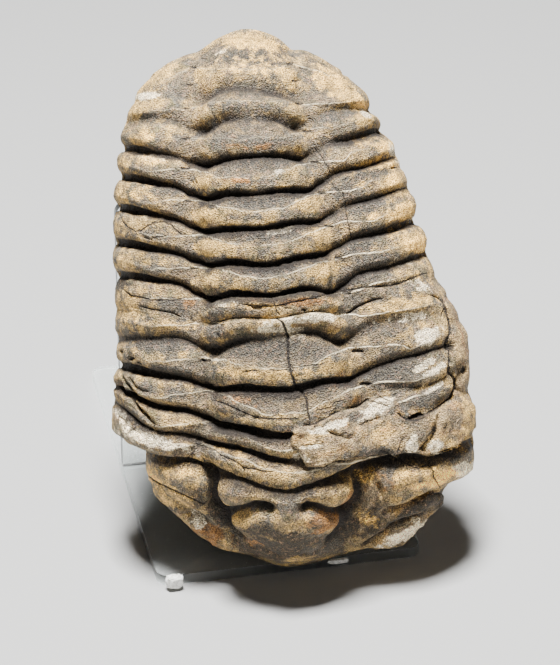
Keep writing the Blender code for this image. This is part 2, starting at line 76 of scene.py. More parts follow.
# One row for each line: its height above the chin at the places of ACROSS, the two axial
# furrows across, how far the ring crest, the furrows and the edges stand out, and how deep
# the gap along it is at GAP_PLACES.
LINES = (
    ((89.4, 91.8, 93.4, 94.0, 95.7, 97.5, 96.3, 94.3, 94.1, 91.8, 89.0),
     (-14.7, 1.7), (3, 0, -2), (0, 0, 0, 0, 0, 0, 0, 0, 0)),
    ((86.7, 86.1, 85.4, 84.9, 87.1, 87.4, 86.5, 85.4, 86.3, 86.6, 86.7),
     (-15.2, 4.0), (13, 8, -3), (0.2, 0.3, 0.6, 1.1, 1.0, 1.1, 0.5, 0.3, 0.2)),
    ((81.5, 81.5, 80.5, 79.1, 81.0, 81.4, 81.1, 79.8, 81.8, 83.1, 83.7),
     (-15.1, 4.3), (16, 10, -3), (0.9, 0.9, 0.9, 1.6, 0.9, 1.4, 0.7, 0.7, 0.7)),
    ((76.7, 75.3, 74.1, 73.1, 74.1, 74.6, 74.9, 74.5, 76.4, 77.8, 79.9),
     (-14.9, 5.0), (18, 11.5, -3), (1.2, 1.3, 1.3, 1.9, 1.3, 1.6, 1.0, 1.1, 1.2)),
    ((71.4, 69.9, 68.6, 67.1, 67.9, 67.8, 68.7, 68.9, 71.1, 72.8, 75.2),
     (-14.9, 6.4), (19.5, 12.5, -3), (1.4, 1.4, 1.5, 1.9, 1.1, 1.6, 1.2, 1.4, 1.4)),
    ((65.8, 64.1, 62.6, 61.2, 61.6, 61.6, 62.9, 63.3, 65.1, 67.0, 69.5),
     (-14.7, 8.1), (20.3, 13, -3), (1.4, 1.4, 1.5, 2.0, 1.3, 1.7, 1.1, 1.2, 1.2)),
    ((59.4, 57.9, 56.5, 55.1, 55.7, 55.2, 56.7, 57.4, 59.2, 60.9, 63.2),
     (-14.1, 9.3), (20.7, 13.3, -3), (1.4, 1.5, 1.6, 2.1, 1.4, 1.6, 1.2, 1.3, 1.2)),
    ((53.5, 52.2, 51.0, 49.2, 50.1, 49.6, 51.0, 50.6, 53.0, 54.8, 57.3),
     (-13.8, 10.4), (20.7, 13.3, -3), (1.4, 1.5, 1.6, 2.2, 1.6, 1.7, 1.2, 1.2, 1.2)),
    ((47.7, 46.5, 45.4, 44.4, 45.2, 45.3, 46.7, 46.2, 47.8, 48.9, 49.4),
     (-14.1, 12.3), (20.5, 13.2, -3), (0.1, 0.2, 0.3, 0.3, 0.3, 0.3, 0.5, 0.2, 0.1)),
    ((41.7, 41.7, 41.2, 39.7, 41.2, 42.1, 42.9, 41.3, 43.7, 45.2, 46.6),
     (-13.1, 12.0), (20.0, 13, -3), (1.0, 1.2, 1.2, 1.6, 0.4, 1.5, 0.9, 0.8, 0.5)),
    ((36.9, 35.2, 34.0, 32.9, 33.4, 33.0, 34.6, 35.1, 36.9, 39.2, 41.5),
     (-12.4, 13.8), (19.3, 12.6, -3), (1.5, 1.6, 1.6, 2.0, 1.6, 1.7, 1.2, 1.2, 1.0)),
    ((33.0, 29.7, 28.4, 27.0, 26.1, 24.9, 27.1, 30.4, 32.0, 33.4, 36.9),
     (-12.0, 15.2), (18.5, 12, -3), (1.4, 1.8, 1.9, 2.1, 1.6, 0.3, 0.2, 0.8, 0.7)),
    ((30.0, 25.3, 24.3, 23.3, 22.3, 20.1, 21.6, 23.6, 27.1, 28.7, 32.6),
     (-13.5, 16.2), (17.8, 11.5, -3), (1.2, 1.2, 1.4, 1.5, 1.1, 0.2, 0.1, 0.5, 0.6)),
    ((21.2, 20.4, 19.7, 18.3, 16.6, 14.5, 16.6, 18.8, 20.4, 20.9, 23.4),
     (-12.4, 13.8), (16.8, 10.5, -3), (1.0, 1.6, 1.7, 1.7, 1.6, 1.7, 2.2, 2.4, 2.0)),
    ((18.9, 15.9, 13.7, 12.4, 11.1, 9.2, 10.7, 12.4, 13.7, 14.7, 19.3),
     (-11.2, 12.8), (14.5, 8, -3), (0, 0, 0, 0, 0, 0, 0, 0, 0)),
    ((16.7, 11.2, 7.4, 6.1, 5.1, 3.4, 4.4, 5.8, 6.8, 8.1, 16.7),
     (-10.2, 11.8), (8, 3.5, -3), (0, 0, 0, 0, 0, 0, 0, 0, 0)),
    ((15.6, 8.6, 4.0, 2.7, 1.7, -0.2, 0.7, 2.0, 3.1, 4.6, 16.0),
     (-9.6, 11.4), (-2, -2.5, -3), (0, 0, 0, 0, 0, 0, 0, 0, 0)),
)
LINE_SOFTNESS = (1.0, 1.0, 0.9, 0.4, 0, 0, 0, 0, 0.5, 0.75, 0, 0, 0.3, 0.3, 1.0, 1.0, 1.0)
HEAD_LINE = 13
LAST_LINE = len(LINES) - 1

# The two side outlines, with a tip at each pleura and a notch between them, from the top down
LEFT_OUTLINE = (
    (-23.9, 89.4), (-26.8, 85.2), (-28.4, 81.5), (-29.3, 78.4), (-28.6, 76.6), (-30.1, 74.6),
    (-29.2, 71.5), (-30.7, 68.5), (-29.6, 65.7), (-30.9, 62.0), (-30.0, 59.4), (-30.9, 56.5),
    (-29.5, 53.2), (-30.5, 49.0), (-29.9, 47.2), (-30.3, 44.0), (-29.9, 41.6), (-30.2, 39.5),
    (-29.3, 36.8), (-30.7, 34.2), (-30.5, 31.0), (-31.1, 25.2), (-29.0, 23.4), (-24.9, 21.2),
    (-24.2, 15.6),
)
RIGHT_OUTLINE = (
    (13.3, 89.0), (16.6, 85.2), (16.3, 83.7), (18.5, 81.6), (18.2, 80.0), (21.3, 76.0),
    (22.1, 73.2), (23.9, 68.6), (25.1, 66.2), (24.7, 63.4), (27.1, 59.4), (27.0, 57.2),
    (28.6, 52.6), (30.8, 49.2), (33.0, 45.0), (34.7, 40.6), (35.1, 35.8), (34.6, 32.2),
    (35.8, 27.4), (35.6, 25.0), (35.8, 20.0), (35.1, 16.0),
)

# How far the broken rock below the right corner stands back from a round outline, by height
BROKEN_HEIGHTS = (2.0, 4.5, 6.0, 8.2, 9.6, 11.8, 12.6, 13.3, 14.0, 15.2, 16.0, 16.8, 17.6)
BROKEN_BACK = (0.0, 1.9, 2.4, 2.4, 2.6, 2.0, 2.5, 3.5, 3.6, 3.2, 1.6, 0.6, 0.0)

# The fine line across each segment, from the left edge to the right, by the photograph's pixels
FINE_LINES = (
    ((140, 92), (192, 67), (206, 69), (240, 69.5), (272, 69), (290, 64), (340, 78)),
    ((138, 113), (165, 110), (187, 108.5), (205, 104), (220, 101.5), (250, 100), (285, 101),
     (299, 103.5), (330, 104), (362, 101)),
    ((122, 136), (150, 140), (186, 138.5), (210, 138), (240, 140), (255, 138), (285, 137), (307, 131),
     (320, 128), (335, 128), (343, 124), (352, 123), (376, 117)),
    ((118, 165), (150, 171), (178, 169), (192, 169), (205, 172), (220, 178), (250, 178), (270, 176),
     (280, 171), (300, 165), (315, 162), (345, 160), (352, 152), (360, 150), (396, 142)),
    ((116, 196), (148, 203), (155, 204), (170, 201), (188, 200.5), (205, 202), (225, 208), (245, 211),
     (265, 211), (285, 208), (300, 200), (310, 195), (322, 193), (350, 191), (362, 188), (368, 183),
     (404, 172)),
    ((115, 222), (150, 236), (175, 236), (197, 235), (215, 239), (230, 244), (255, 247), (280, 243),
     (300, 238), (318, 229), (329, 226), (340, 222), (355, 221), (372, 221), (385, 214), (412, 205)),
    ((116, 258), (150, 270), (190, 267), (212, 268), (232, 272), (245, 277), (265, 279), (285, 275),
     (300, 270), (325, 261), (339, 258), (355, 254), (375, 253), (390, 249), (424, 239)),
    ((116, 288), (150, 299), (185, 299), (218, 298), (250, 298), (276, 297), (305, 292), (320, 291),
     (337, 293), (347, 293), (375, 284), (430, 270)),
    ((116, 320), (150, 326), (185, 325), (217, 322), (232, 318), (250, 317), (275, 319), (300, 314),
     (330, 312), (360, 316), (400, 311), (442, 303)),
    ((114, 345), (130, 351), (143, 358), (152, 362), (165, 361), (200, 358), (228, 361), (245, 366),
     (270, 369), (288, 368), (305, 365), (316, 362), (333, 354), (351, 347), (377, 346), (403, 345),
     (412, 349), (446, 334)),
    ((113, 376), (130, 392), (152, 398), (165, 397), (185, 393), (203, 391), (218, 393), (228, 396),
     (245, 406), (259, 412), (270, 415), (285, 414), (305, 412), (316, 407), (328, 401), (339, 395),
     (350, 389), (365, 384), (391, 381.5), (415, 381), (446, 366)),
    ((114, 386), (125, 396), (138, 411), (150, 421), (157, 427), (185, 425), (209, 422), (225, 426),
     (240, 433), (250, 440), (265, 447), (280, 451), (295, 451), (320, 445), (345, 430), (380, 410),
     (440, 388)),
    ((116, 420), (150, 441), (196, 445), (208, 447), (222, 453), (243, 459), (260, 468), (280, 472),
     (300, 473), (340, 462), (400, 452), (465, 430)),
)

# Swellings of the head, and of the crust: middle and half sizes in pixels, turn, height in mm
SWELLINGS = (
    ("left rear lobe of the glabella", (234, 491), (22, 13), 12, 1.7),
    ("right rear lobe of the glabella", (338, 490), (23, 13), -10, 1.8),
    ("left middle lobe", (249, 522), (22, 11), 10, 1.3),
    ("right middle lobe", (320, 520), (28, 12), -8, 1.4),
    ("ridge between the lobes", (287, 508), (13, 22), 0, 0.8),
    ("front lobe", (286, 536), (52, 22), 0, 0.9),
    ("left cheek", (178, 479), (34, 24), 35, 1.6),
    ("lower rim of the left cheek", (212, 534), (32, 7), 34, 1.3),
    ("upper part of the left cheek rim", (172, 500), (20, 7), 38, 0.5),
    ("right cheek", (405, 484), (42, 24), -12, 1.6),
    ("rough part beside the right furrow", (370, 500), (12, 30), 8, 0.7),
    ("strip between the right cheek's furrows", (408, 514), (34, 6), -28, 0.5),
    ("tongue of the right cheek", (372, 532), (24, 9), -42, 0.8),
    ("broken crust", (382, 432), (60, 20), -12, 1.0),
    ("crest of the crust", (430, 425), (34, 12), -30, 0.6),
)

# Furrows of the head, by pixels: half width and depth in millimetres
HEAD_FURROWS = (
    ("left axial", 1.05, 2.9, ((208, 464), (213, 478), (215, 492), (216, 505), (222, 518), (230, 529),
        (238, 536), (244, 543))),
    ("right axial", 1.3, 1.9, ((356, 468), (357, 480), (357, 491), (352, 508), (344, 523), (336, 536),
        (325, 548))),
    ("left between lobes", 0.85, 2.1, ((224, 512), (233, 511), (243, 509), (254, 505), (265, 507),
        (276, 511))),
    ("right between lobes", 0.85, 2.0, ((298, 512), (309, 506), (318, 507), (326, 510), (334, 512),
        (344, 510), (353, 506))),
    ("right cheek border", 0.5, 1.2, ((384, 508), (399, 506), (410, 502), (420, 495), (432, 487))),
    ("right lower border", 0.7, 1.7, ((356, 549), (376, 537), (395, 524), (420, 515), (432, 508))),
    ("groove of the right cheek", 0.3, 0.6, ((377, 478), (381, 490), (386, 506))),
    ("left border", 0.8, 1.1, ((168, 497), (186, 509), (200, 516), (212, 527), (230, 540))),
    ("line of the chin", 0.25, 0.5, ((244, 543), (255, 545), (265, 546), (275, 552), (284, 557))),
    ("line of the chin, right", 0.25, 0.5, ((288, 557), (305, 553), (320, 549), (334, 541))),
)

# Cracks, by the pixels they run through, with their width in millimetres
CRACKS = (
    ("main crack, upper", 0.24, ((270, 296), (274, 303), (277, 312), (280, 315))),
    ("main crack", 0.4, ((276, 318), (283, 323), (286, 330), (288, 336), (288, 350), (289, 362),
        (291, 372), (294, 382), (298, 388), (303, 393), (307, 400), (308, 412), (310, 421))),
    ("upper right crack", 0.16, ((314, 147), (320, 155), (327, 165), (330, 172))),
    ("upper right crack, lower", 0.12, ((331, 182), (336, 190), (342, 191), (345, 200), (346, 212),
        (348, 222), (351, 235), (353, 240))),
    ("break on the left", 0.26, ((121, 288), (130, 295), (145, 298), (150, 300), (175, 300),
        (185, 298))),
    ("break on the ring", 0.3, ((239, 304), (247, 304.5), (253, 306), (262, 305.5), (275, 306),
        (285, 304), (292, 302), (303, 300), (312, 298), (326, 295))),
    ("upper edge of the break", 0.26, ((205, 298), (215, 297), (224, 298), (235, 299), (240, 300))),
    ("break on the right", 0.34, ((340, 291), (350, 290), (365, 287), (380, 286), (390, 286),
        (400, 283), (410, 279), (420, 275), (427, 273))),
    ("under the break, right", 0.34, ((347, 314), (352, 311), (357, 307), (366, 303), (373, 300),
        (384, 298))),
    ("right rim crack", 0.22, ((431, 295), (438, 298), (444, 303), (446, 306), (442, 313),
        (441, 317))),
    ("left zigzag", 0.24, ((120, 215), (122, 221), (127, 227), (135, 231), (140, 231), (147, 226),
        (155, 222), (164, 222), (171, 225), (177, 231), (181, 234), (189, 235))),
    ("left dark line", 0.16, ((141, 237), (150, 239), (157, 237), (166, 236))),
    ("left pleura mark", 0.12, ((139, 258), (147, 254))),
    ("left lower mark", 0.12, ((142, 262), (149, 264))),
    ("furrow of the fifth pleura", 0.26, ((139, 306), (150, 309), (162, 311), (172, 313), (181, 317))),
    ("left cheek crack", 0.24, ((148, 476), (153, 480), (160, 484), (175, 491), (190, 498), (203, 504),
        (208, 501))),
    ("left cheek hairline", 0.12, ((195, 450), (188, 458), (184, 465), (181, 470))),
    ("right cheek crack", 0.26, ((405, 463), (413, 467), (420, 469), (427, 464), (433, 470),
        (434, 478), (440, 487))),
    ("upper edge of the crust", 0.26, ((303, 426), (309, 425), (315, 424), (326, 418), (335, 413),
        (341, 411))),
    ("upper edge of the crust, right", 0.2, ((347, 407), (358, 407), (363, 403), (366, 400),
        (370, 399))),
    ("crust chip", 0.16, ((327, 430), (333, 434), (339, 437))),
    ("crust chips, middle", 0.2, ((358, 424), (362, 425), (366, 421), (374, 419), (381, 417))),
    ("crust chips, upper", 0.18, ((370, 401), (378, 403), (384, 405), (391, 407))),
    ("crust chips, top", 0.16, ((378, 396), (385, 399), (390, 401))),
    ("crust chips, right", 0.3, ((398, 413), (402, 417), (408, 420), (415, 421), (424, 418))),
    ("crust edge, right", 0.26, ((426, 414), (434, 410), (445, 402), (452, 396))),
    ("crust splits", 0.22, ((404, 438), (401, 442), (399, 448), (397, 453))),
    ("crust splits, right", 0.2, ((418, 451), (424, 444), (428, 440))),
    ("crust crack, lower", 0.2, ((392, 456), (402, 462), (412, 466))),
    ("line on the crust lobe", 0.14, ((300, 446), (312, 445), (325, 443))),
    ("line on the crust", 0.14, ((330, 432), (338, 436), (345, 433), (352, 435))),
    ("dark cracks of the first ring", 0.3, ((213, 400), (219, 402), (225, 404), (233, 408), (240, 411),
        (255, 417), (270, 419), (290, 419), (300, 418))),
    ("dark cracks, right", 0.22, ((317, 410), (330, 408), (336, 402), (345, 400))),
    ("occipital chips", 0.22, ((236, 446), (243, 450), (252, 455), (262, 459), (276, 463))),
    ("occipital line", 0.24, ((205, 447), (214, 450), (222, 456), (236, 462), (244, 468), (255, 469),
        (266, 472), (275, 471))),
    ("third ring slit", 0.3, ((245, 372), (250, 370.5), (258, 371))),
    ("line over the third ring", 0.16, ((269, 370), (280, 370.5), (289, 369), (305, 366), (312, 365),
        (320, 365))),
    ("third ring slit, right", 0.24, ((312, 364), (318, 366), (324, 363))),
    ("fourth ring line", 0.12, ((217, 322), (232, 318), (250, 317), (275, 319))),
    ("rock beside the pleurae", 0.5, ((443, 299), (447, 312), (450, 322), (451, 333), (446, 343),
        (447, 349), (453, 350))),
    ("rock beside the pleurae, lower", 0.44, ((449, 352), (450, 362), (449, 372), (455, 379),
        (455, 389), (450, 398), (441, 406), (430, 413))),
)

# Short black nicks where the pleurae meet the rings: left end, right end, height, width in mm
NICKS = (
    (191, 197, 67, 0.3), (187, 193, 84.5, 0.3), (184, 190, 108.5, 0.3), (182, 191, 138.5, 0.36),
    (181, 190, 168.5, 0.36), (184, 192, 201, 0.34), (190, 198, 268, 0.3), (200, 211, 360.5, 0.5),
    (203, 210, 392, 0.34), (287, 293, 63.5, 0.4), (292, 299, 80.5, 0.4), (296, 303, 103.5, 0.36),
    (303, 311, 131, 0.4), (311, 319, 162, 0.42), (318, 326, 193, 0.4), (325, 334, 226, 0.42),
    (335, 343, 258, 0.4), (343, 351, 293.5, 0.4), (352, 364, 351, 0.5), (360, 371, 384, 0.6),
    (413, 421, 112.5, 0.3), (391, 396, 168, 0.3), (448, 455, 346.5, 0.5), (196, 205, 446, 0.44),
    (201, 206, 58.5, 0.16), (285, 291, 308, 0.2), (252, 262, 308, 0.3), (302, 306, 310, 0.4),
)

# Pits and pinholes: middle in pixels, half sizes in millimetres, depth
PITS = (
    ((416, 415), (1.15, 0.5), 1.6), ((409, 417), (0.5, 0.35), 0.8), ((192, 181), (0.13, 0.2), 0.5),
    ((196, 181.5), (0.16, 0.16), 0.5), ((244, 469), (0.25, 0.2), 0.4), ((355, 123), (0.14, 0.14), 0.4),
    ((370, 120), (0.14, 0.14), 0.4), ((381, 154), (0.14, 0.12), 0.3), ((201, 58), (0.14, 0.14), 0.4),
    ((121, 352), (0.3, 0.25), 0.5), ((131, 359), (0.6, 0.25), 0.5), ((139, 363), (0.4, 0.2), 0.4),
    ((222, 325), (0.25, 0.2), 0.4), ((217, 334), (0.3, 0.3), 0.4), ((465, 370), (0.3, 0.8), 0.5),
)

# Soft grooves, by pixels: half width and depth in millimetres
GROOVES = (
    ("strip at the second pleura's end", 0.3, 0.7, ((121, 376), (124, 382), (128, 387), (132, 392),
        (137, 396))),
    ("strip inside it", 0.22, 0.5, ((127, 377), (131, 381), (135, 387), (142, 391), (150, 392))),
    ("strip at the first pleura's end", 0.3, 0.9, ((117, 378), (121, 388), (128, 399), (138, 410),
        (148, 419), (157, 427))),
    ("strip inside the first pleura", 0.24, 0.6, ((126, 391), (132, 400), (140, 409), (150, 419))),
    ("strip of the border band", 0.26, 0.6, ((116, 414), (124, 422), (133, 430), (142, 436))),
    ("groove beside the rim rock", 0.5, 0.6, ((459, 362), (461, 372), (458, 382), (457, 393))),
    ("olive hollow in the rim rock", 0.7, 0.5, ((463, 360), (461, 378), (457, 394))),
    ("seam of the crust", 0.45, 0.8, ((437, 411), (433, 424), (430, 434), (423, 444), (418, 451))),
    ("step in the crust", 0.35, 0.5, ((346, 429), (352, 424), (362, 424), (372, 420), (382, 416))),
    ("left step in the crust", 0.3, 0.5, ((322, 430), (333, 434), (346, 438), (356, 433))),
    ("fold of the left cheek", 0.5, 0.5, ((160, 478), (170, 492), (180, 500), (195, 505))),
    ("left cheek lower fold", 0.6, 0.8, ((182, 512), (194, 516), (204, 524), (214, 540))),
    ("right cheek fold", 0.5, 0.5, ((372, 470), (378, 485), (376, 500), (366, 515))),
)

# The foot of the broken crust on the right, from the left, by pixels
CRUST_FOOT = (
    (306, 466), (315, 466), (322, 465), (332, 458), (343, 457), (350, 451), (353, 453), (362, 451),
    (372, 448), (382, 448), (388, 450), (391, 453), (394, 453), (401, 451), (409, 451), (422, 453),
    (432, 451), (442, 448), (452, 445), (464, 436),
)

# Ledges, by pixels, raised on the left of the way they run: height, reach back and edge width in mm
LEDGES = (
    ("lower edge of the crust", 0.7, 5.0, 0.2, (*CRUST_FOOT, (472, 427))),
    ("lobe of the crust", 0.5, 4.0, 0.2, ((309, 425), (299, 427), (293, 431), (291, 438), (292, 445),
        (299, 450), (303, 460), (306, 466))),
    ("crest of the third ring", 0.25, 1.6, 0.2, ((352, 352), (340, 357), (322, 362), (305, 367),
        (290, 370), (270, 370), (250, 368), (238, 364), (226, 359))),
    ("step over the fourth ring", 0.25, 1.4, 0.15, ((275, 317.5), (288, 315), (305, 312), (315, 310.5),
        (329, 309))),
    ("strip above the break", 0.16, 0.9, 0.12, ((239, 304), (262, 305.5), (275, 306), (285, 304),
        (303, 300), (326, 295))),
    ("end of the border band", 0.4, 3.0, 0.2, ((186, 448), (193, 446), (197, 442), (196, 437))),
    ("lower edge of the border band", 0.4, 1.6, 0.2, ((116, 428), (126, 434), (136, 441), (148, 449),
        (160, 451), (176, 449), (192, 446))),
    ("flake under the right cheek", 0.45, 2.4, 0.25, ((444, 498), (430, 509), (414, 520), (392, 527),
        (380, 538), (371, 548))),
    ("flake over the first pleura", 0.3, 2.0, 0.2, ((412, 381), (418, 384), (422, 387), (432, 381),
        (440, 378), (447, 373))),
    ("flake over the second pleura", 0.25, 1.6, 0.2, ((404, 344), (409, 346), (414, 350), (422, 351))),
)

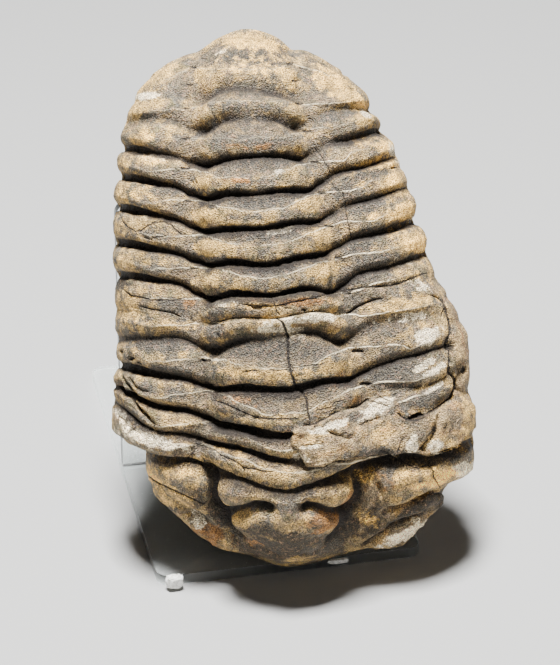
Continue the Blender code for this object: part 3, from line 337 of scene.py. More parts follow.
# Patches of colour, by kind: middle and half sizes in pixels, turn in degrees, strength
PATCHES = {
    # Dark brown stone, and painted shade, most of all on the chin and the front of the glabella
    "umber_and_shade": (
        (284, 544, 58, 15, 0, 1.0), (284, 532, 30, 8, 0, 0.7), (225, 520, 22, 12, 30, 0.9),
        (345, 528, 18, 14, -40, 0.9), (205, 540, 30, 10, 35, 0.7), (372, 520, 12, 26, 15, 0.8),
        (214, 486, 8, 20, 0, 0.7), (356, 492, 8, 18, 0, 0.6), (287, 506, 36, 5, 0, 0.8),
        (440, 500, 20, 8, -30, 0.6), (160, 500, 14, 8, 40, 0.5), (428, 434, 5, 14, 25, 0.8),
        (412, 417, 18, 6, -10, 0.8), (124, 284, 12, 8, 10, 1.0), (172, 503, 18, 6, 38, 0.7),
        (146, 454, 20, 5, 0, 0.6), (225, 410, 26, 5, 12, 0.7), (300, 548, 50, 9, 0, 0.9),
        (436, 498, 16, 10, -30, 0.8), (340, 258, 10, 8, 0, 0.5), (346, 188, 10, 8, 0, 0.5),
        (217, 284, 10, 8, 0, 0.5), (256, 524, 26, 10, 0, 0.6), (262, 548, 34, 9, 8, 0.7),
        (120, 286, 10, 6, 0, 0.7), (126, 228, 8, 5, 20, 0.6), (256, 528, 30, 9, 4, 0.8),
        (268, 550, 30, 7, 8, 0.8), (120, 284, 10, 7, 0, 0.9), (378, 452, 24, 5, 0, 0.8),
        (408, 404, 20, 5, -20, 0.8), (434, 402, 14, 6, -35, 0.6), (444, 430, 6, 16, 25, 0.6),
        (424, 447, 18, 4, -12, 0.6), (196, 498, 10, 16, -20, 0.6), (422, 502, 24, 6, -34, 1.0),
        (392, 522, 24, 5, -32, 1.0), (370, 538, 12, 5, -36, 0.9), (384, 450, 18, 5, 0, 0.8),
        (172, 500, 12, 7, 36, 0.7), (416, 404, 16, 5, -20, 0.7), (222, 286, 10, 5, 0, 0.5),
    ),
    "slate": (
        (215, 332, 12, 10, 10, 0.7), (245, 52, 26, 7, 0, 0.7), (255, 76, 36, 7, 3, 0.6),
        (248, 108, 40, 6, 2, 0.6), (250, 141, 44, 7, 0, 0.7), (265, 163, 46, 8, -2, 0.6),
        (262, 203, 38, 6, -3, 0.8), (270, 236, 36, 6, -3, 0.8), (268, 270, 34, 5, -3, 0.9),
        (240, 310, 30, 8, 0, 0.6), (265, 348, 40, 12, 0, 0.7), (318, 352, 28, 10, -8, 0.6),
        (160, 345, 34, 8, 3, 0.9), (165, 371, 34, 6, 3, 0.9), (170, 302, 26, 6, 3, 0.7),
        (160, 390, 34, 6, 8, 0.5), (395, 372, 34, 9, -12, 0.9), (395, 384, 26, 5, -3, 0.9),
        (430, 395, 20, 6, -35, 0.8), (370, 175, 30, 8, -14, 0.6), (365, 205, 30, 8, -14, 0.7),
        (370, 235, 30, 8, -14, 0.7), (375, 262, 30, 8, -12, 0.7), (350, 140, 28, 6, -12, 0.6),
        (330, 75, 16, 9, 20, 0.5), (155, 170, 24, 5, 3, 0.4), (165, 192, 20, 5, 3, 0.5),
        (165, 255, 22, 5, 3, 0.5), (380, 325, 36, 6, -8, 0.6), (285, 505, 10, 14, 0, 0.4),
        (262, 395, 40, 6, 6, 0.4), (235, 490, 14, 8, 0, 0.4), (351, 417, 10, 6, -20, 0.9),
        (415, 398, 26, 6, -22, 0.8), (335, 115, 26, 6, -4, 0.7), (357, 248, 18, 6, -10, 0.8),
        (362, 278, 26, 7, -8, 0.8), (340, 190, 12, 10, 0, 0.7), (148, 116, 20, 6, 0, 0.6),
        (165, 236, 22, 6, 6, 0.5), (170, 262, 20, 5, 5, 0.4), (220, 286, 16, 8, 0, 0.6),
        (202, 236, 16, 8, 10, 0.5), (334, 548, 14, 8, 0, 0.6), (412, 403, 22, 6, -10, 0.8),
        (370, 449, 26, 7, 0, 0.9), (236, 404, 34, 7, 10, 0.6), (222, 426, 18, 7, 12, 0.7),
        (406, 452, 14, 7, 0, 0.6), (172, 498, 12, 10, 0, 0.7), (250, 181, 26, 5, 0, 0.6),
        (250, 217, 26, 5, 0, 0.5), (165, 266, 26, 7, 5, 0.6), (160, 232, 26, 7, 5, 0.5),
        (250, 58, 32, 6, 0, 0.9), (250, 90, 40, 6, 0, 0.3), (318, 548, 22, 8, 0, 0.7),
        (414, 402, 22, 7, -14, 0.9), (340, 452, 12, 6, 0, 0.7), (200, 258, 14, 7, 10, 0.5),
        (222, 284, 14, 7, 0, 0.7), (316, 188, 12, 8, -20, 0.5), (202, 162, 12, 8, 10, 0.5),
        (200, 186, 10, 8, 0, 0.5), (172, 308, 22, 7, 0, 0.5), (240, 428, 24, 6, 14, 0.6),
        (284, 428, 14, 6, 0, 0.6), (412, 284, 12, 6, -10, 0.5), (394, 330, 16, 8, -10, 0.5),
        (170, 503, 14, 9, 30, 0.7), (340, 80, 22, 6, 32, 0.4), (330, 118, 18, 5, 0, 0.5),
    ),
    "ochre": (
        (250, 40, 62, 8, 0, 1.0), (345, 92, 40, 10, 42, 1.0), (292, 80, 9, 14, -20, 0.9),
        (200, 75, 10, 9, -30, 0.7), (160, 75, 26, 7, -38, 0.6), (137, 110, 12, 10, -60, 0.6),
        (365, 120, 14, 6, 12, 0.8), (392, 148, 14, 8, 15, 0.8), (385, 163, 18, 6, -18, 0.8),
        (398, 190, 14, 8, -12, 1.0), (408, 212, 12, 7, -10, 1.0), (412, 240, 16, 9, -12, 1.0),
        (124, 162, 10, 8, 0, 0.6), (150, 160, 18, 5, 5, 0.7), (122, 195, 10, 12, 0, 0.7),
        (150, 206, 22, 4, 0, 0.6), (122, 228, 10, 9, 0, 0.6), (124, 262, 12, 10, 0, 0.7),
        (155, 262, 24, 4, 5, 0.5), (130, 305, 14, 20, 0, 0.8), (170, 325, 30, 5, 5, 0.5),
        (205, 215, 18, 8, 5, 0.9), (202, 182, 12, 7, 0, 0.7), (212, 248, 20, 8, 5, 0.8),
        (215, 282, 24, 7, 8, 0.7), (310, 205, 16, 8, -15, 0.8), (318, 236, 16, 9, -10, 0.8),
        (325, 270, 18, 9, -10, 0.8), (250, 290, 30, 4, 5, 0.5), (270, 375, 38, 5, 2, 1.0),
        (330, 368, 24, 7, -15, 0.7), (245, 516, 12, 7, 0, 0.9), (170, 492, 26, 16, 30, 0.6),
        (200, 462, 30, 7, 10, 0.5), (270, 468, 30, 8, 12, 0.4), (345, 478, 18, 10, -20, 0.6),
        (400, 305, 40, 8, -10, 0.7), (440, 440, 30, 9, -10, 0.5), (465, 420, 10, 26, 0, 0.7),
        (440, 470, 22, 10, 0, 0.5), (382, 432, 16, 9, -10, 0.9), (310, 436, 14, 6, 0, 0.6),
        (414, 212, 9, 12, 0, 0.9), (396, 186, 10, 14, 0, 0.7), (436, 472, 18, 8, 0, 0.8),
        (148, 472, 12, 8, 0, 0.8), (255, 66, 56, 20, 0, 0.42), (330, 80, 30, 14, 32, 0.4),
        (440, 478, 12, 5, -20, 0.6),
    ),
    "rust": (
        (236, 146, 12, 4, 5, 0.6), (236, 180, 16, 4, 3, 0.8), (262, 146, 10, 4, 0, 0.4),
        (305, 302, 28, 5, -4, 0.8), (262, 300, 28, 4, 0, 0.5), (352, 400, 14, 6, -10, 0.4),
        (388, 426, 12, 5, -12, 0.5), (322, 518, 18, 9, -10, 0.9), (348, 500, 8, 16, 10, 0.7),
        (385, 478, 16, 14, 0, 0.5), (212, 534, 22, 9, 35, 0.8), (250, 540, 14, 6, 0, 0.4),
        (322, 412, 14, 4, -25, 0.5), (190, 304, 8, 12, 0, 0.5), (340, 380, 16, 9, -10, 0.4),
        (240, 400, 26, 6, 12, 0.4),
    ),
    "pale": (
        (288, 321, 30, 5, -4, 0.7), (147, 96, 12, 4, -8, 0.9), (150, 158, 16, 4, 5, 0.6),
        (280, 172, 8, 3, -8, 0.8), (281, 230, 16, 4, -8, 0.9), (394, 153, 4, 14, -30, 1.0),
        (365, 113, 8, 2.5, 35, 0.8), (318, 318, 24, 5, -4, 0.7), (430, 335, 16, 10, -10, 0.8),
        (405, 318, 30, 5, -8, 0.5), (332, 424, 12, 5, -20, 1.0), (378, 406, 20, 6, -22, 0.9),
        (392, 399, 14, 3, -8, 0.7), (364, 419, 10, 4, -20, 0.9), (410, 442, 6, 9, 20, 0.9),
        (312, 446, 14, 1.6, -6, 0.8), (300, 458, 8, 5, 0, 0.6), (280, 326, 14, 4, 0, 0.6),
        (316, 430, 12, 4, 0, 0.4), (198, 520, 12, 4, 36, 0.5), (432, 372, 16, 4, -28, 0.9),
        (425, 365, 14, 4, -30, 0.7), (436, 386, 14, 2.5, -35, 0.9), (152, 440, 42, 6, 14, 0.9),
        (121, 416, 5, 14, -35, 0.8), (464, 469, 13, 9, 0, 1.0), (402, 535, 30, 7, -28, 1.0),
        (432, 445, 10, 6, -40, 0.6), (225, 50, 14, 3, -25, 0.3), (340, 66, 26, 3, 36, 0.4),
        (420, 285, 16, 5, 30, 0.5), (270, 329, 20, 6, 0, 0.5), (300, 334, 14, 5, -8, 0.5),
        (215, 448, 22, 3, 22, 0.6), (232, 304, 24, 4, 0, 0.5), (400, 262, 16, 5, -10, 0.5),
        (280, 330, 26, 5, 0, 0.8),
    ),
    # Straw-coloured stone, and painted light on the pleura tips, cheeks and top that face the light
    "straw_and_painted_light": (
        (360, 102, 12, 5, 35, 0.5), (382, 145, 10, 6, 0, 0.7), (393, 180, 10, 7, -10, 0.8),
        (402, 212, 12, 8, -10, 1.0), (417, 244, 12, 9, -10, 1.0), (412, 276, 10, 5, -10, 0.4),
        (366, 184, 12, 4, -14, 0.4), (376, 217, 14, 4, -14, 0.6), (138, 196, 14, 7, 5, 0.4),
        (205, 214, 8, 5, 0, 0.3), (460, 448, 12, 8, 0, 0.6), (430, 474, 26, 9, 0, 0.6),
        (160, 474, 24, 9, 10, 0.5), (366, 472, 12, 9, 0, 0.5), (368, 516, 12, 7, 20, 0.4),
        (220, 448, 16, 5, 20, 0.4), (364, 140, 14, 5, 0, 0.4), (388, 162, 12, 5, 0, 0.4),
        (255, 44, 40, 8, 0, 0.5), (255, 70, 40, 6, 0, 0.4), (325, 78, 26, 10, 32, 0.35),
        (410, 208, 10, 8, 0, 0.6), (424, 250, 8, 9, 0, 0.7), (392, 165, 10, 5, 0, 0.5),
        (412, 160, 6, 8, 0, 0.3), (236, 372, 30, 3, 4, 0.5), (296, 372, 14, 3, -6, 0.5),
        (172, 458, 24, 4, 8, 0.4), (436, 476, 22, 6, -14, 0.8), (404, 474, 20, 7, 0, 0.6),
        (460, 446, 10, 8, 0, 0.8), (152, 474, 16, 8, 0, 0.7), (180, 470, 14, 6, 0, 0.5),
        (232, 452, 22, 4, 16, 0.7), (146, 138, 14, 6, 0, 0.6), (148, 160, 16, 5, 5, 0.6),
        (386, 162, 12, 6, -10, 0.7), (365, 164, 10, 4, -10, 0.4), (250, 306, 30, 4, 0, 0.5),
        (366, 476, 10, 7, 0, 0.6), (398, 232, 14, 5, -10, 0.5),
    ),
}

# Where the rock begins beside the right pleurae, and what a mask reads where it has no mark
ROCK_EDGE_Y = (290, 300, 312, 330, 345, 355, 365, 380, 392, 403, 410)
ROCK_EDGE_X = (431, 440, 447, 449, 451, 455, 460, 458, 455, 449, 440)
OFF_VALUES = {"step_side": 2.0, "crack_side": 1.0}

# The rock behind the shell, and the tail shield that curls over it from the top
ROCK_DEPTH = 10.5
ROCK_ROUGHNESS = 1.4
ROCK_LUMP = 11.0
ROCK_FACETS = 0.9
ROCK_CHIP, ROCK_CHIPS = 3.0, 0.35
SHALLOW_TOP = 0.25
SHALLOW_FROM, SHALLOW_FULL = 55, 80
FLAT_LEVEL = 30.0
TAIL_LENGTH = 29.0
TAIL_HALF_WIDTH = 18.0
TAIL_TAPER = 1.7
TAIL_MIDDLE = -6.4
TAIL_RIB_PITCH = 3.6
TAIL_RIB_HEIGHT = 0.6
TAIL_RAISE = 1.4
TAIL_DRIFT = 1.8
TAIL_EDGE = 0.9
TAIL_AXIS = 0.42
TAIL_AXIS_RAISE = 1.2
TAIL_SWEEP = 0.3

# How the shell rounds over: its rings, pleurae and their tips, and its two ends
RING_ROUNDNESS = 0.6
PLEURA_ROUNDNESS = 2.4
PLEURA_SWELL = 0.8
TIP_ROUNDNESS = 2.2
END_STEEPNESS = 1.5
FURROW_REACH = 0.09
BLUR_STEPS = (-1.5, -0.9, -0.3, 0.3, 0.9, 1.5)
BROKEN_FROM, BROKEN_FULL = 10.0, 26.0

# Relief of a segment in millimetres: ring, pleurae and the gaps over and under them
GAP_WOBBLE, WOBBLE_SIZE = 0.35, 4.0
GAP_CRUMBLE, CRUMBLE_SIZE = 0.16, 0.9
LEAST_TALL = 0.5
RING_FALL = 0.75
RING_STEP = 0.12
RING_KNOB = 0.45
KNOB_ACROSS, KNOB_WIDTH = 0.3, 0.045
KNOB_DOWN, KNOB_LENGTH = 0.6, 0.25
PLEURA_RIDGE = 0.16
RIDGE_WIDTH = 0.3
PLEURA_FALL = 0.15
RING_GAP = 0.8
SOFT_GAP = 0.8
SOFT_DEPTH, CRISP_DEPTH = 0.85, 1.3
SOFT_BELOW, SOFT_ABOVE = 1.3, 1.2
FIRST_RINGS = 0.6
TIP_RELIEF = 0.5

# Painted shade in the gaps: the depths at which a gap's painted shade starts to show and is all dark
SHALLOW, DEEP, RING_DEEP = 0.6, 1.3, 1.4
SOFT_SHALLOW = 0.3
SOFT_SHADE = 0.75

# The painted highlight along the pale lip of each fine line: its strength from the middle of a ring to a
# pleura's end
LIP_PLACES = (0.0, 0.25, 0.36, 0.6, 0.82)
LIP_STRENGTHS = (0.45, 0.45, 1.0, 0.9, 0.0)
LEFT_LIP = 0.55
FIRST_LIPS = 0.4

# Bumps on the shell, by their size across and height in millimetres, and the creases of the rock
COARSE_SIZE, COARSE_HEIGHT = 6.0, 0.22
FINE_SIZE, FINE_HEIGHT = 1.4, 0.09
CREASE_SIZES = (3.2, 1.2)
BACK_CREASE_SIZES = (5.0, 2.0)
SMALL_CREASES = 0.4
CRACK_DEPTH = 0.5
FULL_CRACK = 0.2
NARROWEST_DIP = 0.12

# How much painted shade furrows and grooves get for their depth, the shares of their length over
# which their ends fade, and how far from a crack its mark reaches
FURROW_SHADE = 0.45
GROOVE_SHADE = 0.55
FURROW_ENDS = (-0.05, 0.12)
GROOVE_ENDS = (-0.02, 0.12)
FAR = 9.0
CRACK_REACH = 0.7

# How raggedly a patch ends, and where it starts to fade and is gone, as shares of its half size
OUTLINE_RAGGED = 0.35
PATCH_CORE, PATCH_END = 0.45, 1.35
COARSE_RAGGED = 0.7

# How rocky the crust and the broken cheek look
CRUST_ROCK = 0.6
CHEEK_ROCK = 0.5

# Colours of the stone, as a screen shows them
TAN = (208, 173, 110)
GREY = (114, 102, 86)
GREY_BROWN = (138, 124, 98)
OCHRE = (226, 184, 106)
ROCK = (196, 164, 112)
ROCK_DARK = (150, 126, 90)
ROCK_STAIN = (170, 122, 72)
ROCK_GREY = (128, 120, 104)
OLIVE = (104, 98, 66)
BLUE_GREY = (108, 102, 92)
PINK_BROWN = (140, 114, 94)
PINK = (172, 136, 108)
COOL = (106, 104, 94)
LIP_HIGHLIGHT = (250, 232, 192)
# Near black, for painted shade in gaps, furrows, pits and over the lips, and for the cracks
SHADE_AND_CRACK_BLACK = (25, 16, 7)

# Colours of the patches, laid one over the other in this order, and the amounts of a patch's
# mask at which it starts to show and covers all
PATCH_COLOURS = {
    # Dark brown, standing also for painted shade
    "umber_and_shade": ((64, 55, 40), 0.1, 0.8),
    "slate": ((94, 87, 76), 0.15, 0.7),
    "ochre": (OCHRE, 0.2, 0.75),
    "rust": ((168, 118, 62), 0.2, 0.8),
    "pale": ((240, 222, 188), 0.25, 0.6),
    "straw_and_painted_light": ((252, 200, 104), 0.1, 0.8),
}
PATCH_RAGGED = 0.3

# Roughness of the stone's finish, from its smoothest to its roughest places
STONE_SHEEN = (0.62, 0.9)

# Masks on the mesh that the stone's material reads, besides the patches: 'dark' is painted shade, 'lip' is
# where a painted highlight runs
STONE_MASKS = ("relief", "rock", "dark", "half_ring", "under_lip", "step_side", "lip", "crack_side",
               "crack_half")

# Noises in the stone: millimetres across, detail, roughness. The second lot is shifted aside.
NOISES = {
    "fine": (0.28, 1.0, 0.6),
    "rough": (0.8, 2.0, 0.8),
    "mottle": (1.9, 4.0, 0.7),
    "blotch": (8.0, 4.0, 0.6),
    "breaks": (3.0, 3.0, 0.7),
    "waves": (3.2, 2.0, 0.5),
    "wander": (0.6, 2.0, 0.5),
}
SHIFTED_NOISES = {
    "stain": (2.6, 4.0, 0.65),
    "bloom": (4.2, 4.0, 0.65),
    "flecks": (0.7, 3.0, 0.75),
    "pitted": (0.22, 0.0, 0.5),
}
NOISE_SHIFT = (0.31, 0.17, 0.05)

# Layers of colour: what each follows, where that starts and is full, its strength and colour
SHELL_LAYERS = (
    ("blotch", 0.38, 0.62, 1.0, TAN),
    # Greyer in the hollows: partly grime, partly painted shade
    ("relief", 0.1, -0.8, 0.45, GREY),
    ("stain", 0.5, 0.6, 0.9, OCHRE),
    ("stain", 0.48, 0.38, 0.75, OLIVE),
    ("bloom", 0.51, 0.61, 0.85, BLUE_GREY),
    ("bloom", 0.46, 0.36, 0.5, PINK_BROWN),
)
GREY_SHARE = 0.65
ROCK_LAYERS = (
    ("blotch", 0.42, 0.6, 1.0, ROCK),
    ("stain", 0.52, 0.62, 0.8, ROCK_STAIN),
    ("bloom", 0.5, 0.38, 0.8, ROCK_GREY),
)
FLECK_LAYERS = (
    ("flecks", 0.53, 0.66, 0.6, PINK),
    ("flecks", 0.45, 0.34, 0.3, COOL),
)

# What lightens or darkens the stone: what it follows, from where to where, and by how much there
SPECKLES = (
    ("pitted", 0.48, 0.3, 1.0, 0.35),
    ("pitted", 0.54, 0.7, 1.0, 1.9),
    ("mottle", 0.3, 0.7, 0.45, 1.14),
    # Darker in the hollows: partly grime, partly painted shade
    ("relief", -1.4, 0.2, 0.5, 1.0),
    # Lighter on the pale and straw patches; on the straw ones this is partly painted light
    ("bright", 0.0, 1.0, 1.0, 1.6),
)
FINE_SHARE = 0.6
GRAIN_SPECKLE = 0.12
GREY_SPECKLE = 0.15
BRIGHT_PALE = 0.6
COOL_TINT = (0.97, 1.0, 1.06, 1.0)
WARM_TINT = (1.05, 1.0, 0.84, 1.0)

# The lip's painted highlight and the painted shadow line over it, and how far lips and cracks waver, in
# millimetres
LIP_EDGE, LIP_CORE = 0.19, 0.06
SHADE_AWAY = 0.27
SHADE_EDGE, SHADE_CORE = 0.14, 0.03
SHADE_STRENGTH = 0.6
LIP_WAVES = 0.18
CRACK_WANDER = 0.06
DARK_RAGGED = 0.25
DARKEST = 0.93

# Heights of the stone's finest bumps, in millimetres
GRAIN_BUMP = 0.7
GREY_BUMP = 0.2
PITTED_BUMP = 0.34
MOTTLE_BUMP = 0.45
LIP_BUMP = 0.12
CRACK_BUMP = 0.3

# Outline of the broken crust that covers the lowest segments on the right, by pixels
CRUST = (
    (293, 431), (309, 425), (320, 421), (336, 413), (347, 410), (362, 405), (372, 398), (384, 399),
    (398, 402), (411, 411), (426, 414), (436, 409), (446, 402), (453, 396), (462, 398), (475, 405),
    (478, 425), *CRUST_FOOT[::-1], (303, 460), (299, 450), (292, 445), (291, 438), (293, 431),
)
CRUST_HEIGHT = 0.55
CRUST_ROUGHNESS = 0.42

# Outline of the broken rock beside and below the right cheek, by pixels
BROKEN_CHEEK = (
    (352, 462), (366, 460), (378, 470), (386, 484), (388, 504), (402, 502), (421, 494), (434, 484),
    (446, 490), (446, 510), (402, 556), (346, 560), (336, 546), (346, 526), (356, 504), (352, 462),
)
BROKEN_ROUGHNESS = 0.5

# Rows of points within one segment, and points across and along the two sheets
SEGMENT_ROWS = (
    0.0, 0.03, 0.06, 0.1, 0.15, 0.2, 0.26, 0.32, 0.38, 0.44, 0.5, 0.56, 0.62, 0.68, 0.74, 0.8,
    0.85, 0.89, 0.92, 0.95, 0.975,
)
TOP_ROWS = 24
HEAD_ROWS = 76
FRONT_COLUMNS = 242
BACK_COLUMNS = 110
BACK_ROWS = 130
RIM_INSET = 0.25
MIDDLE_COLUMNS = np.array((-0.01, 0.0, 0.01))

# The stand, as in the solids
PLATE = 2.2
UPRIGHT_HEIGHT = 57.0
UPRIGHT_FRONT = -1.3
CORNER_RADIUS = 2.5
EASED_EDGE = 0.15
ABOVE_UPRIGHT = 4.0
CLEARANCE = 0.05
CORNER_SEGMENTS, EASED_SEGMENTS = 10, 3

# How rough the acrylic is where it is polished, scratched, sawn or dusty, and its marks' depths
POLISHED = 0.04
SCRATCHED = 0.12
SAWN = (0.3, 0.5)
DUSTY = 0.6
SAW_DEPTH = 0.04
SCRATCH_DEPTH = 0.004

# Colours of the acrylic and the putty, as a screen shows them
ACRYLIC_FACE = (246, 249, 248)
ACRYLIC_SAWN = (214, 220, 219)
ACRYLIC_SHADOW = (0.86, 0.88, 0.88, 1.0)
ACRYLIC_IOR = 1.49
DUST = (226, 226, 222)
PUTTY = (244, 243, 238)
PUTTY_DENT = (206, 204, 196)
PUTTY_SPECK = (150, 146, 134)

# The putty's lumps, by size across and height as shares of a dab, and how square it is pressed
PUTTY_LUMPS = ((0.8, 0.16), (0.25, 0.07), (0.09, 0.03))
PUTTY_SQUARENESS = 0.7
PUTTY_BACK, BACK_DENTS = 0.7, 0.05
PUTTY_TOP, TORN = 0.72, 0.16
PUTTY_SHEEN = (0.6, 0.85)
GRAIN_HEIGHT, LUMP_HEIGHT = 0.05, 0.1

# Studio lights: place and aim in metres, size and power
LIGHTS = {
    "key": ((-0.04, -0.05, 0.75), (0, -0.04, 0.04), 0.16, 30),
    "front fill": ((0.1, -0.9, 0.45), (0, 0, 0.04), 0.5, 1.2),
}
FLOOR_COLOUR = (0.36, 0.36, 0.353, 1.0)
FLOOR_SIZE = 6.0
FLOOR_ROUGHNESS = 0.8
ROOM_LIGHT = 0.03


def fade(value, start, end):
    """0 at start, 1 at end, with a smooth way between."""
    share = np.clip((value - start) / (end - start), 0.0, 1.0)
    return share * share * (3.0 - 2.0 * share)


def bell(value, width):
    """1 at 0, falling off smoothly to both sides."""
    return np.exp(-((value / width) ** 2))


def curve_through(stations, values, at, end_slopes=None):
    """Smooth curve through values (last axis: stations), read at the places in at."""
    stations = np.asarray(stations, float)
    values = np.asarray(values, float)
    step = np.diff(stations)
    chord = np.diff(values, axis=-1) / step
    slope = np.empty_like(values)
    slope[..., 1:-1] = (chord[..., :-1] * step[1:] + chord[..., 1:] * step[:-1]) / (step[1:] + step[:-1])
    slope[..., 0] = chord[..., 0]
    slope[..., -1] = chord[..., -1]
    if end_slopes is not None:
        slope[..., 0] = end_slopes[0]
        slope[..., -1] = end_slopes[1]
    index = np.clip(np.searchsorted(stations, at, side="right") - 1, 0, len(stations) - 2)
    span = step[index]
    share = (at - stations[index]) / span
    return (
        values[..., index] * (1 + 2 * share) * (1 - share) ** 2
        + values[..., index + 1] * share**2 * (3 - 2 * share)
        + slope[..., index] * span * share * (1 - share) ** 2
        + slope[..., index + 1] * span * share**2 * (share - 1)
    )


def outline_x(outline, height):
    """How far across an outline stands at a height: round tips with sharp notches between them."""
    across, up = np.array(outline[::-1]).T
    index = np.clip(np.searchsorted(up, height) - 1, 0, len(up) - 2)
    share = np.clip((height - up[index]) / (up[index + 1] - up[index]), 0, 1)
    to_tip = np.abs(across[index + 1]) > np.abs(across[index])
    eased = np.where(to_tip, 1 - (1 - share) ** TIP_ROUNDNESS, share**TIP_ROUNDNESS)
    return across[index] + (across[index + 1] - across[index]) * eased


def across_grid(columns, left, furrow_left, furrow_right, right):
    """Millimetres across for each row's share across, with the furrows at AXIAL."""
    t = columns[None, :]
    left, furrow_left, furrow_right, right = (v[:, None] for v in (left, furrow_left, furrow_right, right))
    ring = furrow_left + (furrow_right - furrow_left) * (t + AXIAL) / (2 * AXIAL)
    left_pleura = left + (furrow_left - left) * (t + 1) / (1 - AXIAL)
    right_pleura = right + (furrow_right - right) * (1 - t) / (1 - AXIAL)
    return np.where(t < -AXIAL, left_pleura, np.where(t > AXIAL, right_pleura, ring))


def stand_out(share, crest, furrow, edge):
    """How far the shell stands out at each share across: a ring between two sloping pleurae."""
    dome = np.clip(1 - (share / AXIAL) ** 2, 0, 1)
    ring = furrow + (crest - furrow) * (RING_ROUNDNESS * np.sqrt(dome) + (1 - RING_ROUNDNESS) * dome)
    out = np.clip((share - AXIAL) / (1 - AXIAL), 0, 1)
    slope = edge + (furrow - edge) * np.sqrt(1 - out**PLEURA_ROUNDNESS)
    pleura = slope + PLEURA_SWELL * np.sin(math.pi * out) * (1 - out)
    return np.where(share < AXIAL, ring, pleura)


def smooth_shell(columns, rows):
    """The shell without its relief, as a grid of points: rows down the body, columns across."""
    lines = np.arange(len(LINES))
    heights = np.array([line[0] for line in LINES]).T
    furrows = np.array([line[1] for line in LINES]).T
    stands = np.array([line[2] for line in LINES], float).T
    level = np.zeros(len(heights))
    heights = curve_through(lines, heights, rows, (level, heights[:, -1] - heights[:, -2]))
    furrow_left, furrow_right = curve_through(lines, furrows, rows)
    over_top = END_STEEPNESS * (stands[:, 1] - stands[:, 0])
    under_chin = END_STEEPNESS * (stands[:, -1] - stands[:, -2])
    crest, furrow, edge = curve_through(lines, stands, rows, (over_top, under_chin))[:, :, None]
    left = outline_x(LEFT_OUTLINE, heights[0])
    right = outline_x(RIGHT_OUTLINE, heights[-1])
    x = across_grid(columns, left, furrow_left, furrow_right, right)
    y = curve_through(ACROSS, heights.T, columns)
    share = np.abs(columns)[None, :]
    spread = FURROW_BLUR * bell(share - AXIAL, FURROW_REACH)
    z = np.mean([stand_out(share + step * spread, crest, furrow, edge) for step in BLUR_STEPS], axis=0)
    x = x - np.interp(y, BROKEN_HEIGHTS, BROKEN_BACK) * fade(x, BROKEN_FROM, BROKEN_FULL)
    return np.stack([x, y, z], axis=-1)


def normals_of(grid):
    """Unit normals of a grid of points, out of the shell's back."""
    normal = np.cross(np.gradient(grid, axis=0), np.gradient(grid, axis=1))
    return normal / np.maximum(np.linalg.norm(normal, axis=-1, keepdims=True), 1e-9)


def bumps(grid, size, seed, octaves=3):
    """Smooth random bumps of about -1 to 1 at each point of a grid, so many millimetres across."""
    shift = Vector((17.3 * seed, 5.1 * seed, 9.7 * seed))
    flat = grid.reshape(-1, 3)
    values = [noise.fractal(Vector(point) / size + shift, 1.0, 2.0, octaves) for point in flat]
    return np.array(values).reshape(grid.shape[:-1])


def creases_in(grid, sizes):
    """0 along sharp creases of two sizes, and more between them."""
    return np.abs(bumps(grid, sizes[0], 6)) + SMALL_CREASES * np.abs(bumps(grid, sizes[1], 7))


def seen_at(grid):
    """Where each point shows in the photograph's frame, in pixels."""
    scale = FOCAL_PX / (VIEW_DISTANCE - grid[..., 2])
    px = PICTURE_WIDTH / 2 + grid[..., 0] * scale
    py = PICTURE_HEIGHT / 2 - (grid[..., 1] - VIEW_HEIGHT) * scale
    return px, py, 1.0 / scale


def side_of_path(x, y, path):
    """Signed distance from each point to a path of straight runs, and the share along it."""
    nearest = np.full(x.shape, 1e9)
    signed = np.full(x.shape, 1e9)
    along = np.zeros(x.shape)
    runs = list(zip(path, path[1:]))
    for number, ((ax, ay), (bx, by)) in enumerate(runs):
        run = np.array((bx - ax, by - ay), float)
        share = np.clip(((x - ax) * run[0] + (y - ay) * run[1]) / (run @ run), 0, 1)
        away = np.hypot(x - ax - share * run[0], y - ay - share * run[1])
        side = np.sign(run[0] * (y - ay) - run[1] * (x - ax))
        closer = away < nearest
        nearest = np.where(closer, away, nearest)
        signed = np.where(closer, side * away, signed)
        along = np.where(closer, (number + share) / len(runs), along)
    return signed, along


def tapered(along, start, end):
    """1 along the middle of a path, fading out at both of its ends."""
    return fade(np.minimum(along, 1 - along), start, end)


def carved(px, py, mm_per_px, lines, ends):
    """The depth of each line cut into the stone, and how far inside it each point lies, from 0 to 1."""
    for _, half_width, depth, path in lines:
        signed, along = side_of_path(px, py, path)
        yield depth, bell(signed * mm_per_px, half_width) * tapered(along, *ends)


def from_middle(px, py, middle, half_sizes, turned):
    """How far out each point lies in a turned oval, 1 on its outline."""
    turn = math.radians(turned)
    across, down = px - middle[0], py - middle[1]
    along = across * math.cos(turn) + down * math.sin(turn)
    aside = down * math.cos(turn) - across * math.sin(turn)
    return np.hypot(along / half_sizes[0], aside / half_sizes[1])


def segment_parts(columns, rows):
    """For each point of the shell: the segment's number, the share down it, and its height in mm."""
    segment = np.minimum(rows.astype(int), LAST_LINE - 1)
    share = (rows - segment)[:, None]
    at_columns = curve_through(ACROSS, [line[0] for line in LINES], columns)
    tall = np.maximum(at_columns[segment] - at_columns[segment + 1], LEAST_TALL)
    return segment, share, tall


def fine_line_side(segment, px, py, mm_per_px):
    """Millimetres down the shell from its segment's fine line, negative above it."""
    side = np.full(px.shape, FAR)
    for number, path in enumerate(FINE_LINES):
        line_x, line_y = np.array(path, float).T
        here = segment == number
        side[here] = ((py - np.interp(px, line_x, line_y)) * mm_per_px)[here]
    return side


